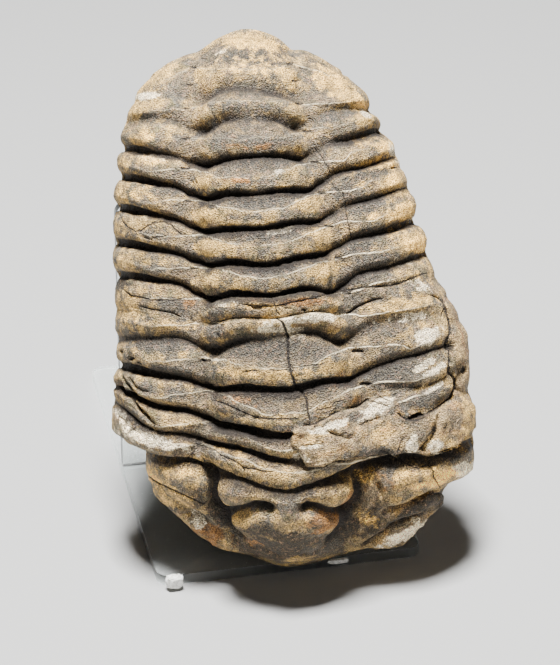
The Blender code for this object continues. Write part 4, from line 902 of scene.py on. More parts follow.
def segment_relief(columns, rows, grid):
    """Rings and pleurae with the gaps between them, the painted shade in those gaps, and where each lip
    runs.
    """
    segment, share, tall = segment_parts(columns, rows)
    depths = curve_through(GAP_PLACES, [line[3] for line in LINES], np.clip(columns, *GAP_PLACES[::8]))
    depths = np.maximum(depths, 0)
    over, under = depths[segment], depths[segment + 1]
    wobble = 1 + GAP_WOBBLE * bumps(grid, WOBBLE_SIZE, 3)
    crumbled = GAP_CRUMBLE * bumps(grid, CRUMBLE_SIZE, 5, 2)
    below = np.maximum(share * tall * wobble + crumbled, 0)
    above = np.maximum((1 - share) * tall * wobble + crumbled, 0)
    aside = np.abs(columns)[None, :]
    on_ring = 1 - fade(aside, AXIAL - 0.04, AXIAL + 0.05)
    step_side = fine_line_side(segment, *seen_at(grid))
    line_share = np.clip(share - step_side / tall, 0.15, 0.85)
    up_to_line = np.clip(share / line_share, 0, 1)
    past_line = np.clip((share - line_share) / (1 - line_share), 0, 1)

    softness = np.array(LINE_SOFTNESS)[:, None]
    soft_over = np.maximum(1 - fade(over, SOFT_DEPTH, CRISP_DEPTH), softness[segment])
    soft_under = np.maximum(1 - fade(under, SOFT_DEPTH, CRISP_DEPTH), softness[segment + 1])
    soft = soft_over * (share < 0.5) + soft_under * (share >= 0.5)
    under_head = (segment >= HEAD_LINE - 1)[:, None] * 1.0
    ring_like = np.maximum(on_ring, under_head)

    ring_gap = over * (1 - fade(below, 0.1, 0.25 + 0.8 * over)) + under * (1 - fade(above, 0.0, 0.35))
    pleura_gap = over * (1 - fade(below, 0.0, 0.8)) + under * fade(share, 0.6, 1.0) ** 3
    crisp_gap = ring_like * ring_gap * RING_GAP + (1 - ring_like) * pleura_gap
    soft_gap = SOFT_GAP * (over * bell(below, SOFT_BELOW) + under * bell(above, SOFT_ABOVE))
    gap = crisp_gap * (1 - soft) + soft_gap * soft

    ring = RING_STEP * fade(step_side, -0.15, 0.05) - RING_FALL * (1 - up_to_line**2 + past_line**2.2)
    ring += RING_KNOB * bell(aside - KNOB_ACROSS, KNOB_WIDTH) * bell(share - KNOB_DOWN, KNOB_LENGTH)
    pleura = PLEURA_RIDGE * bell(step_side, RIDGE_WIDTH) - PLEURA_FALL * past_line

    # Painted shade under each ring or pleura and in the gap below it, darker the deeper the gap
    ring_over = (1 - fade(below, 0.5 * over, 1.2 * over + 0.8)) * fade(over, SHALLOW, RING_DEEP)
    ring_under = (1 - fade(above, 0.05, 0.5)) * fade(under, SHALLOW, RING_DEEP)
    pleura_over = (1 - fade(below, 0.15, 1.2)) * fade(over, SHALLOW, DEEP)
    pleura_under = (1 - fade(above, 0.0, 0.6)) * fade(under, SHALLOW, DEEP)
    soft_over_dark = bell(below, 1.2) * fade(over, SOFT_SHALLOW, DEEP)
    soft_under_dark = bell(above, 0.9) * fade(under, SOFT_SHALLOW, DEEP)
    ring_dark = np.maximum(ring_over, ring_under)
    pleura_dark = np.maximum(pleura_over, pleura_under)
    soft_dark = SOFT_SHADE * np.maximum(soft_over_dark, soft_under_dark)
    dark = (ring_like * ring_dark + (1 - ring_like) * pleura_dark) * (1 - soft) + soft_dark * soft

    body = (rows < HEAD_LINE)[:, None]
    first = FIRST_RINGS + (1 - FIRST_RINGS) * fade(rows, 1.5, 3.0)[:, None]
    tips = 1 - TIP_RELIEF * fade(aside, 0.85, 1.0)
    relief = (on_ring * ring * first + (1 - on_ring) * pleura) * body * tips - gap * tips
    half_ring = on_ring * body * fade(-step_side, -0.05, 0.15)
    inner = 1 - fade(aside, 0.5, 0.85)
    # Grey on the lower half of each pleura near the axis: partly grey stone, partly painted shade on its
    # side that faces down
    under_lip = (1 - on_ring) * body * inner * np.where(columns > 0, 0.8, fade(step_side, 0.0, 0.5))
    # Strength of the painted highlight along each lip
    lip = np.interp(aside, LIP_PLACES, LIP_STRENGTHS)
    lip = lip * np.where((columns < -0.4) & (columns > -1), LEFT_LIP, 1.0)
    lip = lip * body * (FIRST_LIPS + (1 - FIRST_LIPS) * fade(rows, 2.5, 4.0)[:, None])
    masks = {"step_side": np.clip(step_side, -2.0, 2.0), "lip": lip, "half_ring": half_ring,
             "under_lip": under_lip}
    return relief, dark, masks


def head_relief(px, py, mm_per_px):
    """The lobes and cheeks of the head with the furrows that part them, and the painted shade in those
    furrows.
    """
    relief = np.zeros(px.shape)
    dark = np.zeros(px.shape)
    for _, middle, half_sizes, turned, height in SWELLINGS:
        relief += height * np.exp(-(from_middle(px, py, middle, half_sizes, turned) ** 2.2))
    for depth, inside in carved(px, py, mm_per_px, HEAD_FURROWS, FURROW_ENDS):
        relief -= depth * inside
        # Painted shade in each furrow, more for deeper ones
        dark = np.maximum(dark, min(1.0, FURROW_SHADE * depth) * fade(inside, 0.35, 0.95))
    return relief, dark


def crack_marks(px, py, mm_per_px):
    """Signed millimetres from the nearest crack or nick, and that crack's half width there."""
    side = np.full(px.shape, FAR)
    half = np.zeros(px.shape)
    lines = [(width, path) for _, width, path in CRACKS]
    lines += [(width, ((x0, y), (x1, y))) for x0, x1, y, width in NICKS]
    for width, path in lines:
        signed, along = side_of_path(px, py, path)
        signed = signed * mm_per_px
        closer = np.abs(signed) < np.abs(side)
        side = np.where(closer, signed, side)
        taper = np.clip(np.minimum(along, 1 - along) * 8, 0, 1) ** 0.5
        half = np.where(closer, 0.5 * width * (0.25 + 0.75 * taper), half)
    half = half * (np.abs(side) < CRACK_REACH)
    return np.clip(side, -1.0, 1.0), half


def broken_relief(px, py, mm_per_px):
    """Ledges, grooves and pits left by breakage, and the painted shade under the ledges and in the grooves
    and pits.
    """
    relief = np.zeros(px.shape)
    dark = np.zeros(px.shape)
    for _, height, reach, soft, path in LEDGES:
        signed, along = side_of_path(px, py, path)
        raised = -signed * mm_per_px
        ends = tapered(along, 0.0, 0.08)
        relief += height * ends * fade(raised, -0.5 * soft, 0.5 * soft) * (1 - fade(raised, 0, reach))
        # Painted shade just under each ledge's edge
        dark = np.maximum(dark, ends * fade(height, 0.15, 0.8) * bell(raised + 0.5 * height, 0.45 * height))
    for depth, inside in carved(px, py, mm_per_px, GROOVES, GROOVE_ENDS):
        relief -= depth * inside
        # Painted shade in the grooves
        dark = np.maximum(dark, GROOVE_SHADE * depth * inside**2)
    for middle, half_sizes, depth in PITS:
        inside = 1 - fade(from_middle(px, py, middle, half_sizes, 0) * mm_per_px, 0.7, 1.2)
        relief -= depth * inside
        # Painted shade filling the pits
        dark = np.maximum(dark, inside)
    return relief, dark


def colour_patches(px, py, ragged):
    """How much of each patch colour lies on each point, from 0 to 1, with ragged outlines."""
    patches = {}
    for kind, ovals in PATCHES.items():
        patches[kind] = np.zeros(px.shape)
        for x, y, half_width, half_height, turned, strength in ovals:
            out = from_middle(px, py, (x, y), (half_width, half_height), turned) + OUTLINE_RAGGED * ragged
            patches[kind] = np.maximum(patches[kind], strength * (1 - fade(out, PATCH_CORE, PATCH_END)))
    return patches


def rock_share(px, py):
    """1 where the rock shows instead of the shell: beside the pleurae on the right."""
    top, foot = ROCK_EDGE_Y[0], ROCK_EDGE_Y[-1]
    ends = fade(py, top - 8, top + 4) * (1 - fade(py, foot, foot + 20))
    return fade(px - np.interp(py, ROCK_EDGE_Y, ROCK_EDGE_X), -2.0, 2.0) * ends


def inside_outline(px, py, outline):
    """Pixels in from a closed outline, negative outside it."""
    away = np.abs(side_of_path(px, py, outline)[0])
    inside = np.zeros(px.shape, bool)
    for (ax, ay), (bx, by) in zip(outline, outline[1:]):
        if ay != by:
            crosses = (py < ay) != (py < by)
            inside ^= crosses & (px < ax + (py - ay) * (bx - ax) / (by - ay))
    return np.where(inside, away, -away)


def front_sheet(columns, rows):
    """The shell with its relief, and the masks that its finish reads."""
    grid = smooth_shell(columns, rows)
    normals = normals_of(grid)
    relief, dark, masks = segment_relief(columns, rows, grid)
    px, py, mm_per_px = seen_at(grid + relief[..., None] * normals)
    crust = fade(inside_outline(px, py, CRUST), -1.0, 1.5)
    rock = np.maximum(rock_share(px, py), crust)
    relief = relief * (1 - rock)
    dark = dark * (1 - rock)
    for name in ("lip", "half_ring", "under_lip"):
        masks[name] = masks[name] * (1 - rock)
    near_chin = fade(LAST_LINE - rows, 0.0, 0.5)[:, None]
    near_edge = (1 - fade(np.abs(columns), 0.9, 1.0))[None, :]
    lobes, furrows = head_relief(px, py, mm_per_px)
    relief += lobes * near_edge * near_chin
    broken, under = broken_relief(px, py, mm_per_px)
    coarse, fine = bumps(grid, COARSE_SIZE, 1), bumps(grid, FINE_SIZE, 2)
    creases = creases_in(grid, CREASE_SIZES)
    relief += crust * (CRUST_HEIGHT - CRUST_ROUGHNESS * creases)
    cheek_rock = fade(inside_outline(px, py, BROKEN_CHEEK), -2.0, 4.0)
    relief += cheek_rock * near_edge * BROKEN_ROUGHNESS * (0.4 - creases)
    relief += broken + COARSE_HEIGHT * coarse + FINE_HEIGHT * fine
    placed = grid + relief[..., None] * normals
    crack_side, crack_half = crack_marks(*seen_at(placed))
    dip = CRACK_DEPTH * (crack_half / FULL_CRACK) * bell(crack_side, np.maximum(crack_half, NARROWEST_DIP))
    placed = placed - dip[..., None] * normals
    masks |= {
        # Painted shade of the gaps, ledges, grooves, pits and head furrows
        "dark": np.maximum(np.maximum(dark, under), furrows),
        "crack_side": crack_side,
        "crack_half": crack_half,
        "rock": np.maximum(np.maximum(rock - crust, CRUST_ROCK * crust), CHEEK_ROCK * cheek_rock),
        "relief": relief,
        **colour_patches(px, py, fine + COARSE_RAGGED * coarse),
    }
    return placed, masks


def smooth_back(columns, rows):
    """The back of the rock without its relief."""
    grid = smooth_shell(columns, rows)
    ends = smooth_shell(columns, np.array((0.0, float(LAST_LINE))))[..., 2]
    edge = LINES[HEAD_LINE][2][2]
    near_top = np.clip(1 - rows / 2.0, 0, 1)[:, None] ** 2
    near_chin = np.clip(1 - (LAST_LINE - rows) / 2.0, 0, 1)[:, None] ** 2
    rim = edge + (ends[:1] - edge) * near_top + (ends[1:] - edge) * near_chin
    middle = 2 * rows / LAST_LINE - 1
    fullness = np.sqrt(1 - np.abs(columns) ** 3)[None, :] * np.sqrt(1 - np.abs(middle) ** 5)[:, None]
    shallow = 1 - SHALLOW_TOP * fade(grid[..., 1], SHALLOW_FROM, SHALLOW_FULL)
    grid[..., 2] = rim - ROCK_DEPTH * shallow * fullness
    return grid, fullness


def length_along(points):
    """Millimetres along a line of points, at each of them."""
    return np.concatenate([[0.0], np.cumsum(np.linalg.norm(np.diff(points, axis=0), axis=1))])


def length_down(rows):
    """Millimetres down the middle of the back, from the top, at each row."""
    fine = np.linspace(0.0, LAST_LINE, 400)
    return np.interp(rows, fine, length_along(smooth_back(MIDDLE_COLUMNS, fine)[0][:, 1]))


def tail_relief(x, down):
    """The ribbed tail shield, narrowing down the back of the fossil."""
    share = np.clip(down / TAIL_LENGTH, 0, 1)
    half_width = TAIL_HALF_WIDTH * (1 - share**TAIL_TAPER) + 0.01
    aside = np.abs(x - TAIL_MIDDLE - TAIL_DRIFT * share)
    on_tail = 1 - fade(aside, half_width - TAIL_EDGE, half_width + TAIL_EDGE)
    axis_edge = TAIL_AXIS * half_width
    on_axis = 1 - fade(aside, 0.6 * axis_edge, 1.4 * axis_edge)
    swept = down - TAIL_SWEEP * np.maximum(0, aside - axis_edge)
    ribs = TAIL_RIB_HEIGHT * np.cos(2 * math.pi * swept / TAIL_RIB_PITCH)
    return on_tail, on_tail * (TAIL_RAISE + TAIL_AXIS_RAISE * on_axis + ribs * (1 - share**4))


def back_sheet(columns, rows):
    """The rough rock behind the shell, with the tail shield on it."""
    grid, fullness = smooth_back(columns, rows)
    flat = grid.copy()
    flat[..., 2] = FLAT_LEVEL
    on_tail, tail = tail_relief(grid[..., 0], length_down(rows)[:, None])
    rock = ROCK_ROUGHNESS * bumps(flat, ROCK_LUMP, 0) + ROCK_CHIPS * bumps(grid, ROCK_CHIP, 4)
    rock += ROCK_FACETS * (0.3 - creases_in(grid, BACK_CREASE_SIZES))
    relief = (rock * (1 - on_tail) + tail) * np.sqrt(fullness)
    return grid - relief[..., None] * normals_of(grid), {"relief": relief, "rock": 1 - on_tail}


def rim_of(index, columns, rows):
    """The vertices round a grid's rim, each with its place along the rim, from 0 to 4."""
    across = (columns - columns[0]) / (columns[-1] - columns[0])
    down = (rows - rows[0]) / (rows[-1] - rows[0])
    vertices = [*index[0, :-1], *index[:-1, -1], *index[-1, :0:-1], *index[:0:-1, 0]]
    places = [*across[:-1], *(1 + down[:-1]), *(3 - across[:0:-1]), *(4 - down[:0:-1])]
    return [int(vertex) for vertex in vertices], places


def stitch(outer, outer_places, inner, inner_places):
    """Triangles between two rims, stepping along whichever of them is behind."""
    faces = []
    i, j = 0, 0
    while i < len(outer) or j < len(inner):
        next_outer = outer_places[i + 1] if i + 1 < len(outer) else 4.0 + (i + 1 > len(outer))
        next_inner = inner_places[j + 1] if j + 1 < len(inner) else 4.0 + (j + 1 > len(inner))
        a, b = outer[i % len(outer)], inner[j % len(inner)]
        if next_outer <= next_inner:
            i += 1
            faces.append((a, outer[i % len(outer)], b))
        else:
            j += 1
            faces.append((a, inner[j % len(inner)], b))
    return faces


def sheet_faces(index, front):
    """Quads of a grid, facing out of the front or out of the back."""
    a, b = index[:-1, :-1].ravel(), index[:-1, 1:].ravel()
    d, c = index[1:, :-1].ravel(), index[1:, 1:].ravel()
    corners = (a, d, c, b) if front else (a, b, c, d)
    return [tuple(int(corner) for corner in face) for face in zip(*corners)]


def keep_off_stand(points):
    """World points in millimetres, moved clear of the base's top and the upright's front."""
    points = points.copy()
    points[:, 2] = np.maximum(points[:, 2], PLATE + GAP)
    clear_top = PLATE + UPRIGHT_HEIGHT + ABOVE_UPRIGHT
    furthest = UPRIGHT_FRONT - GAP - CLEARANCE + np.maximum(0, points[:, 2] - clear_top)
    points[:, 1] = np.minimum(points[:, 1], furthest)
    return points


def fossil_matrix():
    """Leans the fossil back and turns it on the stand. Lengths stay millimetres."""
    turn = Matrix.Rotation(TURN, 4, "Z") @ Matrix.Rotation(math.pi / 2 - LEAN_BACK, 4, "X")
    return Matrix.Translation(CHIN_PLACE) @ turn


def even_columns(count):
    """Places across the shell, spaced by its curve as much as by its width."""
    fine = np.linspace(-1, 1, 2001)
    section = smooth_shell(fine, np.array((6.5, 7.0)))[0]
    curve = length_along(section)
    width = length_along(section[:, :1])
    spacing = curve / curve[-1] + 1.2 * width / width[-1]
    return np.interp(np.linspace(0, spacing[-1], count), spacing, fine)


def even_rows(start, end, count):
    """Rows from one line to another, spaced by the length of the shell's midline."""
    fine = np.linspace(start, end, 600)
    length = length_along(smooth_shell(MIDDLE_COLUMNS, fine)[:, 1])
    return np.interp(np.linspace(0, length[-1], count), length, fine)


def give_attribute(mesh, name, values):
    """One number for each of a mesh's vertices, for its material to read."""
    mesh.attributes.new(name, "FLOAT", "POINT").data.foreach_set("value", values.astype(np.float32))


def closed_mesh(name, points, faces):
    """A smooth closed mesh from world points in millimetres, with its faces pointing out."""
    mesh = bpy.data.meshes.new(name)
    mesh.from_pydata((points * MM).tolist(), [], faces)
    mesh.validate()
    body = bmesh.new()
    body.from_mesh(mesh)
    bmesh.ops.recalc_face_normals(body, faces=body.faces[:])
    body.to_mesh(mesh)
    body.free()
    mesh.shade_smooth()
    return mesh


def fossil():
    """The trilobite in its rock: the shell, the back and the seam between them, as one body."""
    columns = even_columns(FRONT_COLUMNS)
    rows = list(even_rows(0.0, 1.0, TOP_ROWS)[:-1])
    rows += [line + share for line in range(1, HEAD_LINE) for share in SEGMENT_ROWS]
    rows += list(even_rows(HEAD_LINE, LAST_LINE, HEAD_ROWS))
    rows = np.array(rows)
    back_columns = np.sin(np.linspace(-1.5, 1.5, BACK_COLUMNS))
    fine = np.linspace(0.0, LAST_LINE, 400)
    lengths = np.linspace(RIM_INSET, length_down(fine)[-1] - RIM_INSET, BACK_ROWS)
    back_rows = np.interp(lengths, length_down(fine), fine)
    front, front_masks = front_sheet(columns, rows)
    back, back_masks = back_sheet(back_columns, back_rows)
    front_index = np.arange(front[..., 0].size).reshape(front.shape[:2])
    back_index = front_index.size + np.arange(back[..., 0].size).reshape(back.shape[:2])
    place = np.array(fossil_matrix())
    local = np.concatenate([front.reshape(-1, 3), back.reshape(-1, 3)])
    world = keep_off_stand(local @ place[:3, :3].T + place[:3, 3])
    low, high = (np.array(corner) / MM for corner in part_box("trilobite"))
    seam = stitch(*rim_of(front_index, columns, rows), *rim_of(back_index, back_columns, back_rows))
    faces = sheet_faces(front_index, True) + sheet_faces(back_index, False) + seam
    mesh = closed_mesh("fossil", np.clip(world, low, high), faces)
    for name, values in front_masks.items():
        behind = back_masks.get(name, np.full(back.shape[:2], OFF_VALUES.get(name, 0.0)))
        give_attribute(mesh, name, np.concatenate([np.ravel(values), np.ravel(behind)]))
    made = bpy.data.objects.new("fossil", mesh)
    bpy.context.scene.collection.objects.link(made)
    return made


def new_node(tree, kind, inputs=None, **settings):
    """A shader node, with its settings and the values or links of its inputs."""
    made = tree.nodes.new(kind)
    for name, value in settings.items():
        setattr(made, name, value)
    for name, value in (inputs or {}).items():
        if isinstance(value, bpy.types.NodeSocket):
            tree.links.new(value, made.inputs[name])
        else:
            made.inputs[name].default_value = value
    return made


def sum_up(tree, operation, *values):
    """A Math node's result."""
    return new_node(tree, "ShaderNodeMath", dict(enumerate(values)), operation=operation).outputs[0]


def times(tree, first, second):
    """The product of two values."""
    return sum_up(tree, "MULTIPLY", first, second)


def between(tree, value, start, end, low=0.0, high=1.0):
    """low where the value is at start, high at end, with a smooth way between."""
    inputs = {"Value": value, "From Min": start, "From Max": end, "To Min": low, "To Max": high}
    return new_node(tree, "ShaderNodeMapRange", inputs, interpolation_type="SMOOTHSTEP").outputs[0]


def mixed(tree, share, first, second, blend="MIX"):
    """One colour over another, by a mask."""
    inputs = {0: share, 6: first, 7: second}
    return new_node(tree, "ShaderNodeMix", inputs, data_type="RGBA", blend_type=blend).outputs[2]


def layered(tree, colour, layers, values):
    """A colour with layers of others over it, each where the value that it follows is high enough."""
    for name, start, full, strength, over in layers:
        share = between(tree, values[name], start, full, 0.0, strength)
        colour = mixed(tree, share, colour, srgb(over))
    return colour


def mask(tree, name):
    """A mask painted on the mesh, as an attribute."""
    return new_node(tree, "ShaderNodeAttribute", attribute_name=name).outputs["Fac"]


def clouds(tree, place, size, detail=2.0, roughness=0.5, stretch=(1, 1, 1)):
    """Noise of about 0 to 1 whose lumps are so many millimetres across."""
    scale = [share / (size * MM) for share in stretch]
    moved = new_node(tree, "ShaderNodeMapping", {"Vector": place, "Scale": scale})
    inputs = {"Vector": moved.outputs[0], "Scale": 1.0, "Detail": detail, "Roughness": roughness}
    return new_node(tree, "ShaderNodeTexNoise", inputs).outputs[0]


def srgb(screen):
    """A shader's colour from one as a screen shows it, from 0 to 255."""
    return (*(((part / 255 + 0.055) / 1.055) ** 2.4 for part in screen), 1.0)


def new_material(name):
    """A material, its node tree, its Principled shader and the place on the piece."""
    made = bpy.data.materials.new(name)
    made.use_nodes = True
    place = new_node(made.node_tree, "ShaderNodeTexCoord").outputs["Object"]
    return made, made.node_tree, made.node_tree.nodes["Principled BSDF"], place


def feed(tree, shader, colour, roughness, height):
    """Links a shader's colour, its roughness and its bumps, whose height is in millimetres."""
    bump = new_node(tree, "ShaderNodeBump", {"Height": height, "Strength": 1.0, "Distance": MM})
    tree.links.new(colour, shader.inputs["Base Color"])
    tree.links.new(roughness, shader.inputs["Roughness"])
    tree.links.new(bump.outputs[0], shader.inputs["Normal"])


def stone_values(tree, place):
    """The noises and masks that the stone's finish follows, by name."""
    shifted = new_node(tree, "ShaderNodeMapping", {"Vector": place, "Location": NOISE_SHIFT}).outputs[0]
    values = {name: clouds(tree, place, *made_of) for name, made_of in NOISES.items()}
    values |= {name: clouds(tree, shifted, *made_of) for name, made_of in SHIFTED_NOISES.items()}
    values |= {name: mask(tree, name) for name in (*STONE_MASKS, *PATCHES)}
    rough = times(tree, values["rough"], 1 - FINE_SHARE)
    values["grain"] = sum_up(tree, "MULTIPLY_ADD", values["fine"], FINE_SHARE, rough)
    values["grey_parts"] = sum_up(tree, "MAXIMUM", values["half_ring"], values["under_lip"])
    values["bright"] = sum_up(tree, "MULTIPLY_ADD", values["pale"], BRIGHT_PALE, values["straw_and_painted_light"])
    return values


def stone_colour(tree, values):
    """The colours of the shell and the rock, with patches and flecks over both. The shell is greyer in its
    hollows and on its pleurae's lower halves, partly painted shade, and the umber patches are partly
    painted shade.
    """
    shell = layered(tree, srgb(GREY_BROWN), SHELL_LAYERS, values)
    # Grey on the half rings, and on the pleurae's lower halves, where it is partly painted shade
    shell = mixed(tree, times(tree, values["grey_parts"], GREY_SHARE), shell, srgb(GREY))
    rock = layered(tree, srgb(ROCK_DARK), ROCK_LAYERS, values)
    colour = mixed(tree, values["rock"], shell, rock)
    for kind, (patch_colour, low, high) in PATCH_COLOURS.items():
        ragged = between(tree, values["mottle"], 0.35, 0.65, -PATCH_RAGGED, PATCH_RAGGED)
        amount = between(tree, sum_up(tree, "ADD", values[kind], ragged), low, high)
        amount = times(tree, amount, between(tree, values[kind], 0.0, 0.1))
        colour = mixed(tree, amount, colour, srgb(patch_colour))
    return layered(tree, colour, FLECK_LAYERS, values)


def speckled(tree, colour, values):
    """A colour with light and dark grains, pits and mottling, darker in the hollows (partly grime, partly
    painted shade), lighter on the pale and straw patches (on the straw ones partly painted light), and a
    tint to the grains.
    """
    contrast = sum_up(tree, "MULTIPLY_ADD", values["grey_parts"], GREY_SPECKLE, GRAIN_SPECKLE)
    dim, bright = sum_up(tree, "SUBTRACT", 1.0, contrast), sum_up(tree, "ADD", 1.0, contrast)
    speckle = between(tree, values["grain"], 0.36, 0.64, dim, bright)
    for name, start, end, low, high in SPECKLES:
        speckle = times(tree, speckle, between(tree, values[name], start, end, low, high))
    tint = mixed(tree, between(tree, values["grain"], 0.38, 0.62), COOL_TINT, WARM_TINT)
    colour = mixed(tree, 1.0, colour, tint, "MULTIPLY")
    return new_node(tree, "ShaderNodeVectorMath", {0: colour, 1: speckle}, operation="MULTIPLY").outputs[0]


def lip_lines(tree, values):
    """Where the painted highlight of the lip shows along each fine line, and the thin painted shadow line
    over it.
    """
    wavy = between(tree, values["waves"], 0.3, 0.7, -LIP_WAVES, LIP_WAVES)
    past_lip = sum_up(tree, "ADD", values["step_side"], wavy)
    over_lip = sum_up(tree, "ADD", past_lip, SHADE_AWAY)
    shown = times(tree, between(tree, values["breaks"], 0.36, 0.5), values["lip"])
    lip = between(tree, sum_up(tree, "ABSOLUTE", past_lip), LIP_EDGE, LIP_CORE)
    shade = between(tree, sum_up(tree, "ABSOLUTE", over_lip), SHADE_EDGE, SHADE_CORE)
    return times(tree, lip, shown), times(tree, shade, times(tree, shown, SHADE_STRENGTH))


def crack_lines(tree, values):
    """Where a crack runs."""
    wander = between(tree, values["wander"], 0.3, 0.7, -CRACK_WANDER, CRACK_WANDER)
    from_crack = sum_up(tree, "ABSOLUTE", sum_up(tree, "ADD", values["crack_side"], wander))
    return between(tree, sum_up(tree, "SUBTRACT", values["crack_half"], from_crack), -0.05, 0.03)


def fossil_stone():
    """Weathered shell and rock: tan and grey, stained by iron, with black cracks, a painted highlight along
    each lip and painted shade in the gaps, furrows and hollows.
    """
    made, tree, shader, place = new_material("fossil stone")
    values = stone_values(tree, place)
    colour = speckled(tree, stone_colour(tree, values), values)
    lip, shade = lip_lines(tree, values)
    # The painted shadow line over each lip, then the lip's painted highlight
    colour = mixed(tree, shade, colour, srgb(SHADE_AND_CRACK_BLACK))
    colour = mixed(tree, lip, colour, srgb(LIP_HIGHLIGHT))
    crack = crack_lines(tree, values)
    # Painted shade in the gaps, furrows, pits and under ledges, with the real cracks, mixed to near black
    ragged = between(tree, values["grain"], 0.3, 0.7, -DARK_RAGGED, DARK_RAGGED)
    dark = between(tree, sum_up(tree, "ADD", values["dark"], ragged), 0.1, 0.9)
    dark = times(tree, sum_up(tree, "MAXIMUM", dark, crack), DARKEST)
    colour = mixed(tree, dark, colour, srgb(SHADE_AND_CRACK_BLACK))
    grain_bump = sum_up(tree, "MULTIPLY_ADD", values["grey_parts"], GREY_BUMP, GRAIN_BUMP)
    height = times(tree, values["grain"], grain_bump)
    for value, tall in ((values["pitted"], PITTED_BUMP), (values["mottle"], MOTTLE_BUMP), (lip, LIP_BUMP),
                        (crack, -CRACK_BUMP)):
        height = sum_up(tree, "MULTIPLY_ADD", value, tall, height)
    feed(tree, shader, colour, between(tree, values["mottle"], 0.3, 0.7, *STONE_SHEEN), height)
    return made


def plate(name, thin_axis, rounded_axis, lowest):
    """A clear plate where its solid stands, with its corners rounded and its edges eased."""
    low, high = (Vector(corner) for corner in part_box(name))
    bpy.ops.object.select_all(action="DESELECT")
    bpy.ops.mesh.primitive_cube_add(size=1.0, location=(low + high) / 2)
    made = bpy.context.object
    made.name = name.replace("stand", "clear")
    bpy.ops.transform.resize(value=high - low)
    bpy.ops.object.transform_apply(location=True, rotation=True, scale=True)
    bpy.ops.object.mode_set(mode="EDIT")
    bpy.ops.mesh.select_mode(type="EDGE")
    bpy.ops.mesh.select_all(action="DESELECT")
    shape = bmesh.from_edit_mesh(made.data)
    for edge in shape.edges:
        first, second = (vertex.co for vertex in edge.verts)
        along = abs((second - first)[rounded_axis]) > 0.5 * (high - low)[rounded_axis]
        edge.select_set(along and min(first.z, second.z) > lowest)
    bmesh.update_edit_mesh(made.data)
    bpy.ops.mesh.bevel(offset=CORNER_RADIUS * MM, segments=CORNER_SEGMENTS, affect="EDGES")
    bpy.ops.object.mode_set(mode="OBJECT")
    eased = made.modifiers.new("eased edges", "BEVEL")
    eased.width = EASED_EDGE * MM
    eased.segments = EASED_SEGMENTS
    eased.angle_limit = math.radians(50)
    bpy.ops.object.modifier_apply(modifier=eased.name)
    bpy.ops.object.shade_smooth_by_angle(angle=math.radians(25))
    normals = np.array([vertex.normal for vertex in made.data.vertices])
    give_attribute(made.data, "sawn", fade(1 - np.abs(normals[:, thin_axis]), 0.3, 0.7))
    return made


def clear_acrylic():
    """Clear plastic: polished and scratched on its faces, dull where it was sawn, with some dust."""
    made, tree, shader, place = new_material("clear acrylic")
    sawn = mask(tree, "sawn")
    scratches = clouds(tree, place, 0.5, 3.0, 0.7, (0.04, 1.0, 1.0))
    crossing = clouds(tree, place, 0.4, 3.0, 0.7, (1.0, 0.05, 0.05))
    worn = sum_up(tree, "MAXIMUM", between(tree, scratches, 0.6, 0.72), between(tree, crossing, 0.62, 0.74))
    dust = between(tree, clouds(tree, place, 0.35, 2.0, 0.6), 0.68, 0.76)
    saw_marks = clouds(tree, place, 0.3, 2.0, 0.6, (1.0, 1.0, 0.08))
    rough = sum_up(tree, "MULTIPLY_ADD", worn, SCRATCHED, POLISHED)
    rough_edge = times(tree, sawn, between(tree, saw_marks, 0.3, 0.7, *SAWN))
    for other in (rough_edge, times(tree, dust, DUSTY)):
        rough = sum_up(tree, "MAXIMUM", rough, other)
    colour = mixed(tree, sawn, srgb(ACRYLIC_FACE), srgb(ACRYLIC_SAWN))
    colour = mixed(tree, dust, colour, srgb(DUST))
    height = times(tree, saw_marks, times(tree, sawn, SAW_DEPTH))
    height = sum_up(tree, "SUBTRACT", height, times(tree, worn, SCRATCH_DEPTH))
    feed(tree, shader, colour, rough, height)
    shader.inputs["Transmission Weight"].default_value = 1.0
    shader.inputs["IOR"].default_value = ACRYLIC_IOR
    through = new_node(tree, "ShaderNodeBsdfTransparent", {"Color": ACRYLIC_SHADOW})
    in_shadow = new_node(tree, "ShaderNodeLightPath").outputs["Is Shadow Ray"]
    inputs = {0: in_shadow, 1: shader.outputs[0], 2: through.outputs[0]}
    surface = new_node(tree, "ShaderNodeMixShader", inputs)
    tree.links.new(surface.outputs[0], tree.nodes["Material Output"].inputs["Surface"])
    return made


def dab_of_putty(name, seed):
    """Putty pressed on the base's edge: flat behind, squarish, torn and dented."""
    low, high = (np.array(corner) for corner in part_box(name))
    bpy.ops.object.select_all(action="DESELECT")
    bpy.ops.mesh.primitive_ico_sphere_add(subdivisions=6, radius=1.0)
    made = bpy.context.object
    made.name = name.replace("putty", "white")
    ball = np.array([vertex.co for vertex in made.data.vertices])
    lumps = sum(tall * bumps(ball, size, seed + n) for n, (size, tall) in enumerate(PUTTY_LUMPS))
    points = np.sign(ball) * np.abs(ball) ** PUTTY_SQUARENESS * (1 + lumps)[:, None]
    points[:, 1] = np.minimum(points[:, 1], PUTTY_BACK + BACK_DENTS * bumps(ball, 0.3, seed + 3))
    torn = PUTTY_TOP + TORN * bumps(ball * (1.0, 0.3, 0.2), 0.25, seed + 4)
    points[:, 2] = np.minimum(points[:, 2], torn)
    least, most = points.min(axis=0), points.max(axis=0)
    placed = low + (points - least) / (most - least) * (high - low)
    made.data.vertices.foreach_set("co", placed.reshape(-1).astype(np.float32))
    made.data.update()
    bpy.ops.object.shade_smooth()
    return made


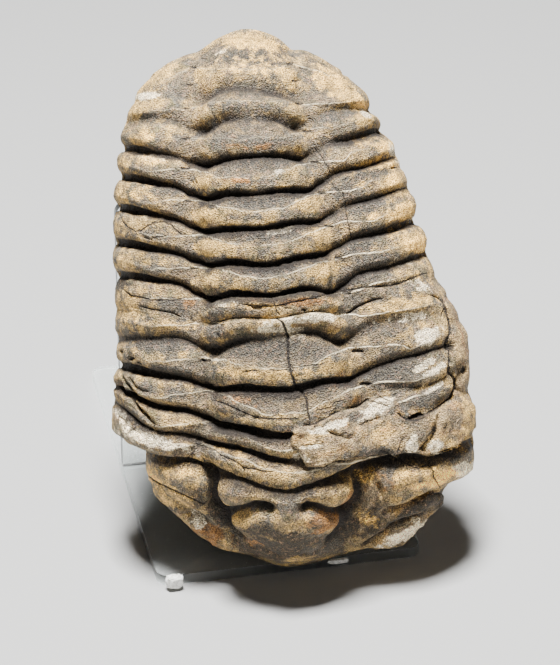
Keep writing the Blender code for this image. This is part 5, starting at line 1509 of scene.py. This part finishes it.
def white_putty():
    """Matt white putty, greyed a little in its dents."""
    made, tree, shader, place = new_material("white putty")
    lumps = clouds(tree, place, 0.5, 3.0, 0.6)
    grains = clouds(tree, place, 0.12, 2.0, 0.6)
    colour = mixed(tree, between(tree, lumps, 0.35, 0.6), srgb(PUTTY_DENT), srgb(PUTTY))
    colour = mixed(tree, between(tree, grains, 0.36, 0.28), colour, srgb(PUTTY_SPECK))
    height = sum_up(tree, "MULTIPLY_ADD", grains, GRAIN_HEIGHT, times(tree, lumps, LUMP_HEIGHT))
    feed(tree, shader, colour, between(tree, lumps, 0.3, 0.7, *PUTTY_SHEEN), height)
    return made


def camera():
    """The photograph's camera, square on to the shell."""
    data = bpy.data.cameras.new("camera")
    data.sensor_width = SENSOR
    data.lens = SENSOR * FOCAL_PX / PICTURE_HEIGHT
    data.clip_start = 0.01
    made = bpy.data.objects.new("camera", data)
    bpy.context.scene.collection.objects.link(made)
    place = fossil_matrix() @ Matrix.Translation((0, VIEW_HEIGHT, VIEW_DISTANCE))
    place.translation *= MM
    made.matrix_world = place
    bpy.context.scene.camera = made


def light(name, place, aim, size, power):
    """A square lamp aimed at a point."""
    data = bpy.data.lights.new(name, "AREA")
    data.size = size
    data.energy = power
    made = bpy.data.objects.new(name, data)
    bpy.context.scene.collection.objects.link(made)
    made.location = place
    made.rotation_euler = (Vector(aim) - Vector(place)).to_track_quat("-Z", "Y").to_euler()


def studio():
    """A plain pale floor under soft light."""
    bpy.ops.object.select_all(action="DESELECT")
    bpy.ops.mesh.primitive_plane_add(size=FLOOR_SIZE, location=(0, 0, 0))
    floor = bpy.context.object
    floor.name = "floor"
    pale, _, shader, _ = new_material("pale floor")
    shader.inputs["Base Color"].default_value = FLOOR_COLOUR
    shader.inputs["Roughness"].default_value = FLOOR_ROUGHNESS
    floor.data.materials.append(pale)
    world = bpy.data.worlds.new("studio")
    bpy.context.scene.world = world
    world.use_nodes = True
    room = world.node_tree.nodes["Background"].inputs
    room["Color"].default_value = (1, 1, 1, 1)
    room["Strength"].default_value = ROOM_LIGHT
    for name, settings in LIGHTS.items():
        light(name, *settings)


def finished(piece, node, material):
    """Gives a piece its material, hangs it under the root, and hides the solid that it stands for."""
    piece.data.materials.clear()
    piece.data.materials.append(material)
    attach(piece, "root")
    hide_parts(node)


finished(fossil(), "trilobite", fossil_stone())
acrylic = clear_acrylic()
finished(plate("stand_base", 2, 2, -1.0), "stand_base", acrylic)
finished(plate("stand_upright", 1, 1, 10 * MM), "stand_upright", acrylic)
putty = white_putty()
finished(dab_of_putty("putty_dab", 2), "putty_dab", putty)
finished(dab_of_putty("putty_crumb", 7), "putty_crumb", putty)
camera()
studio()
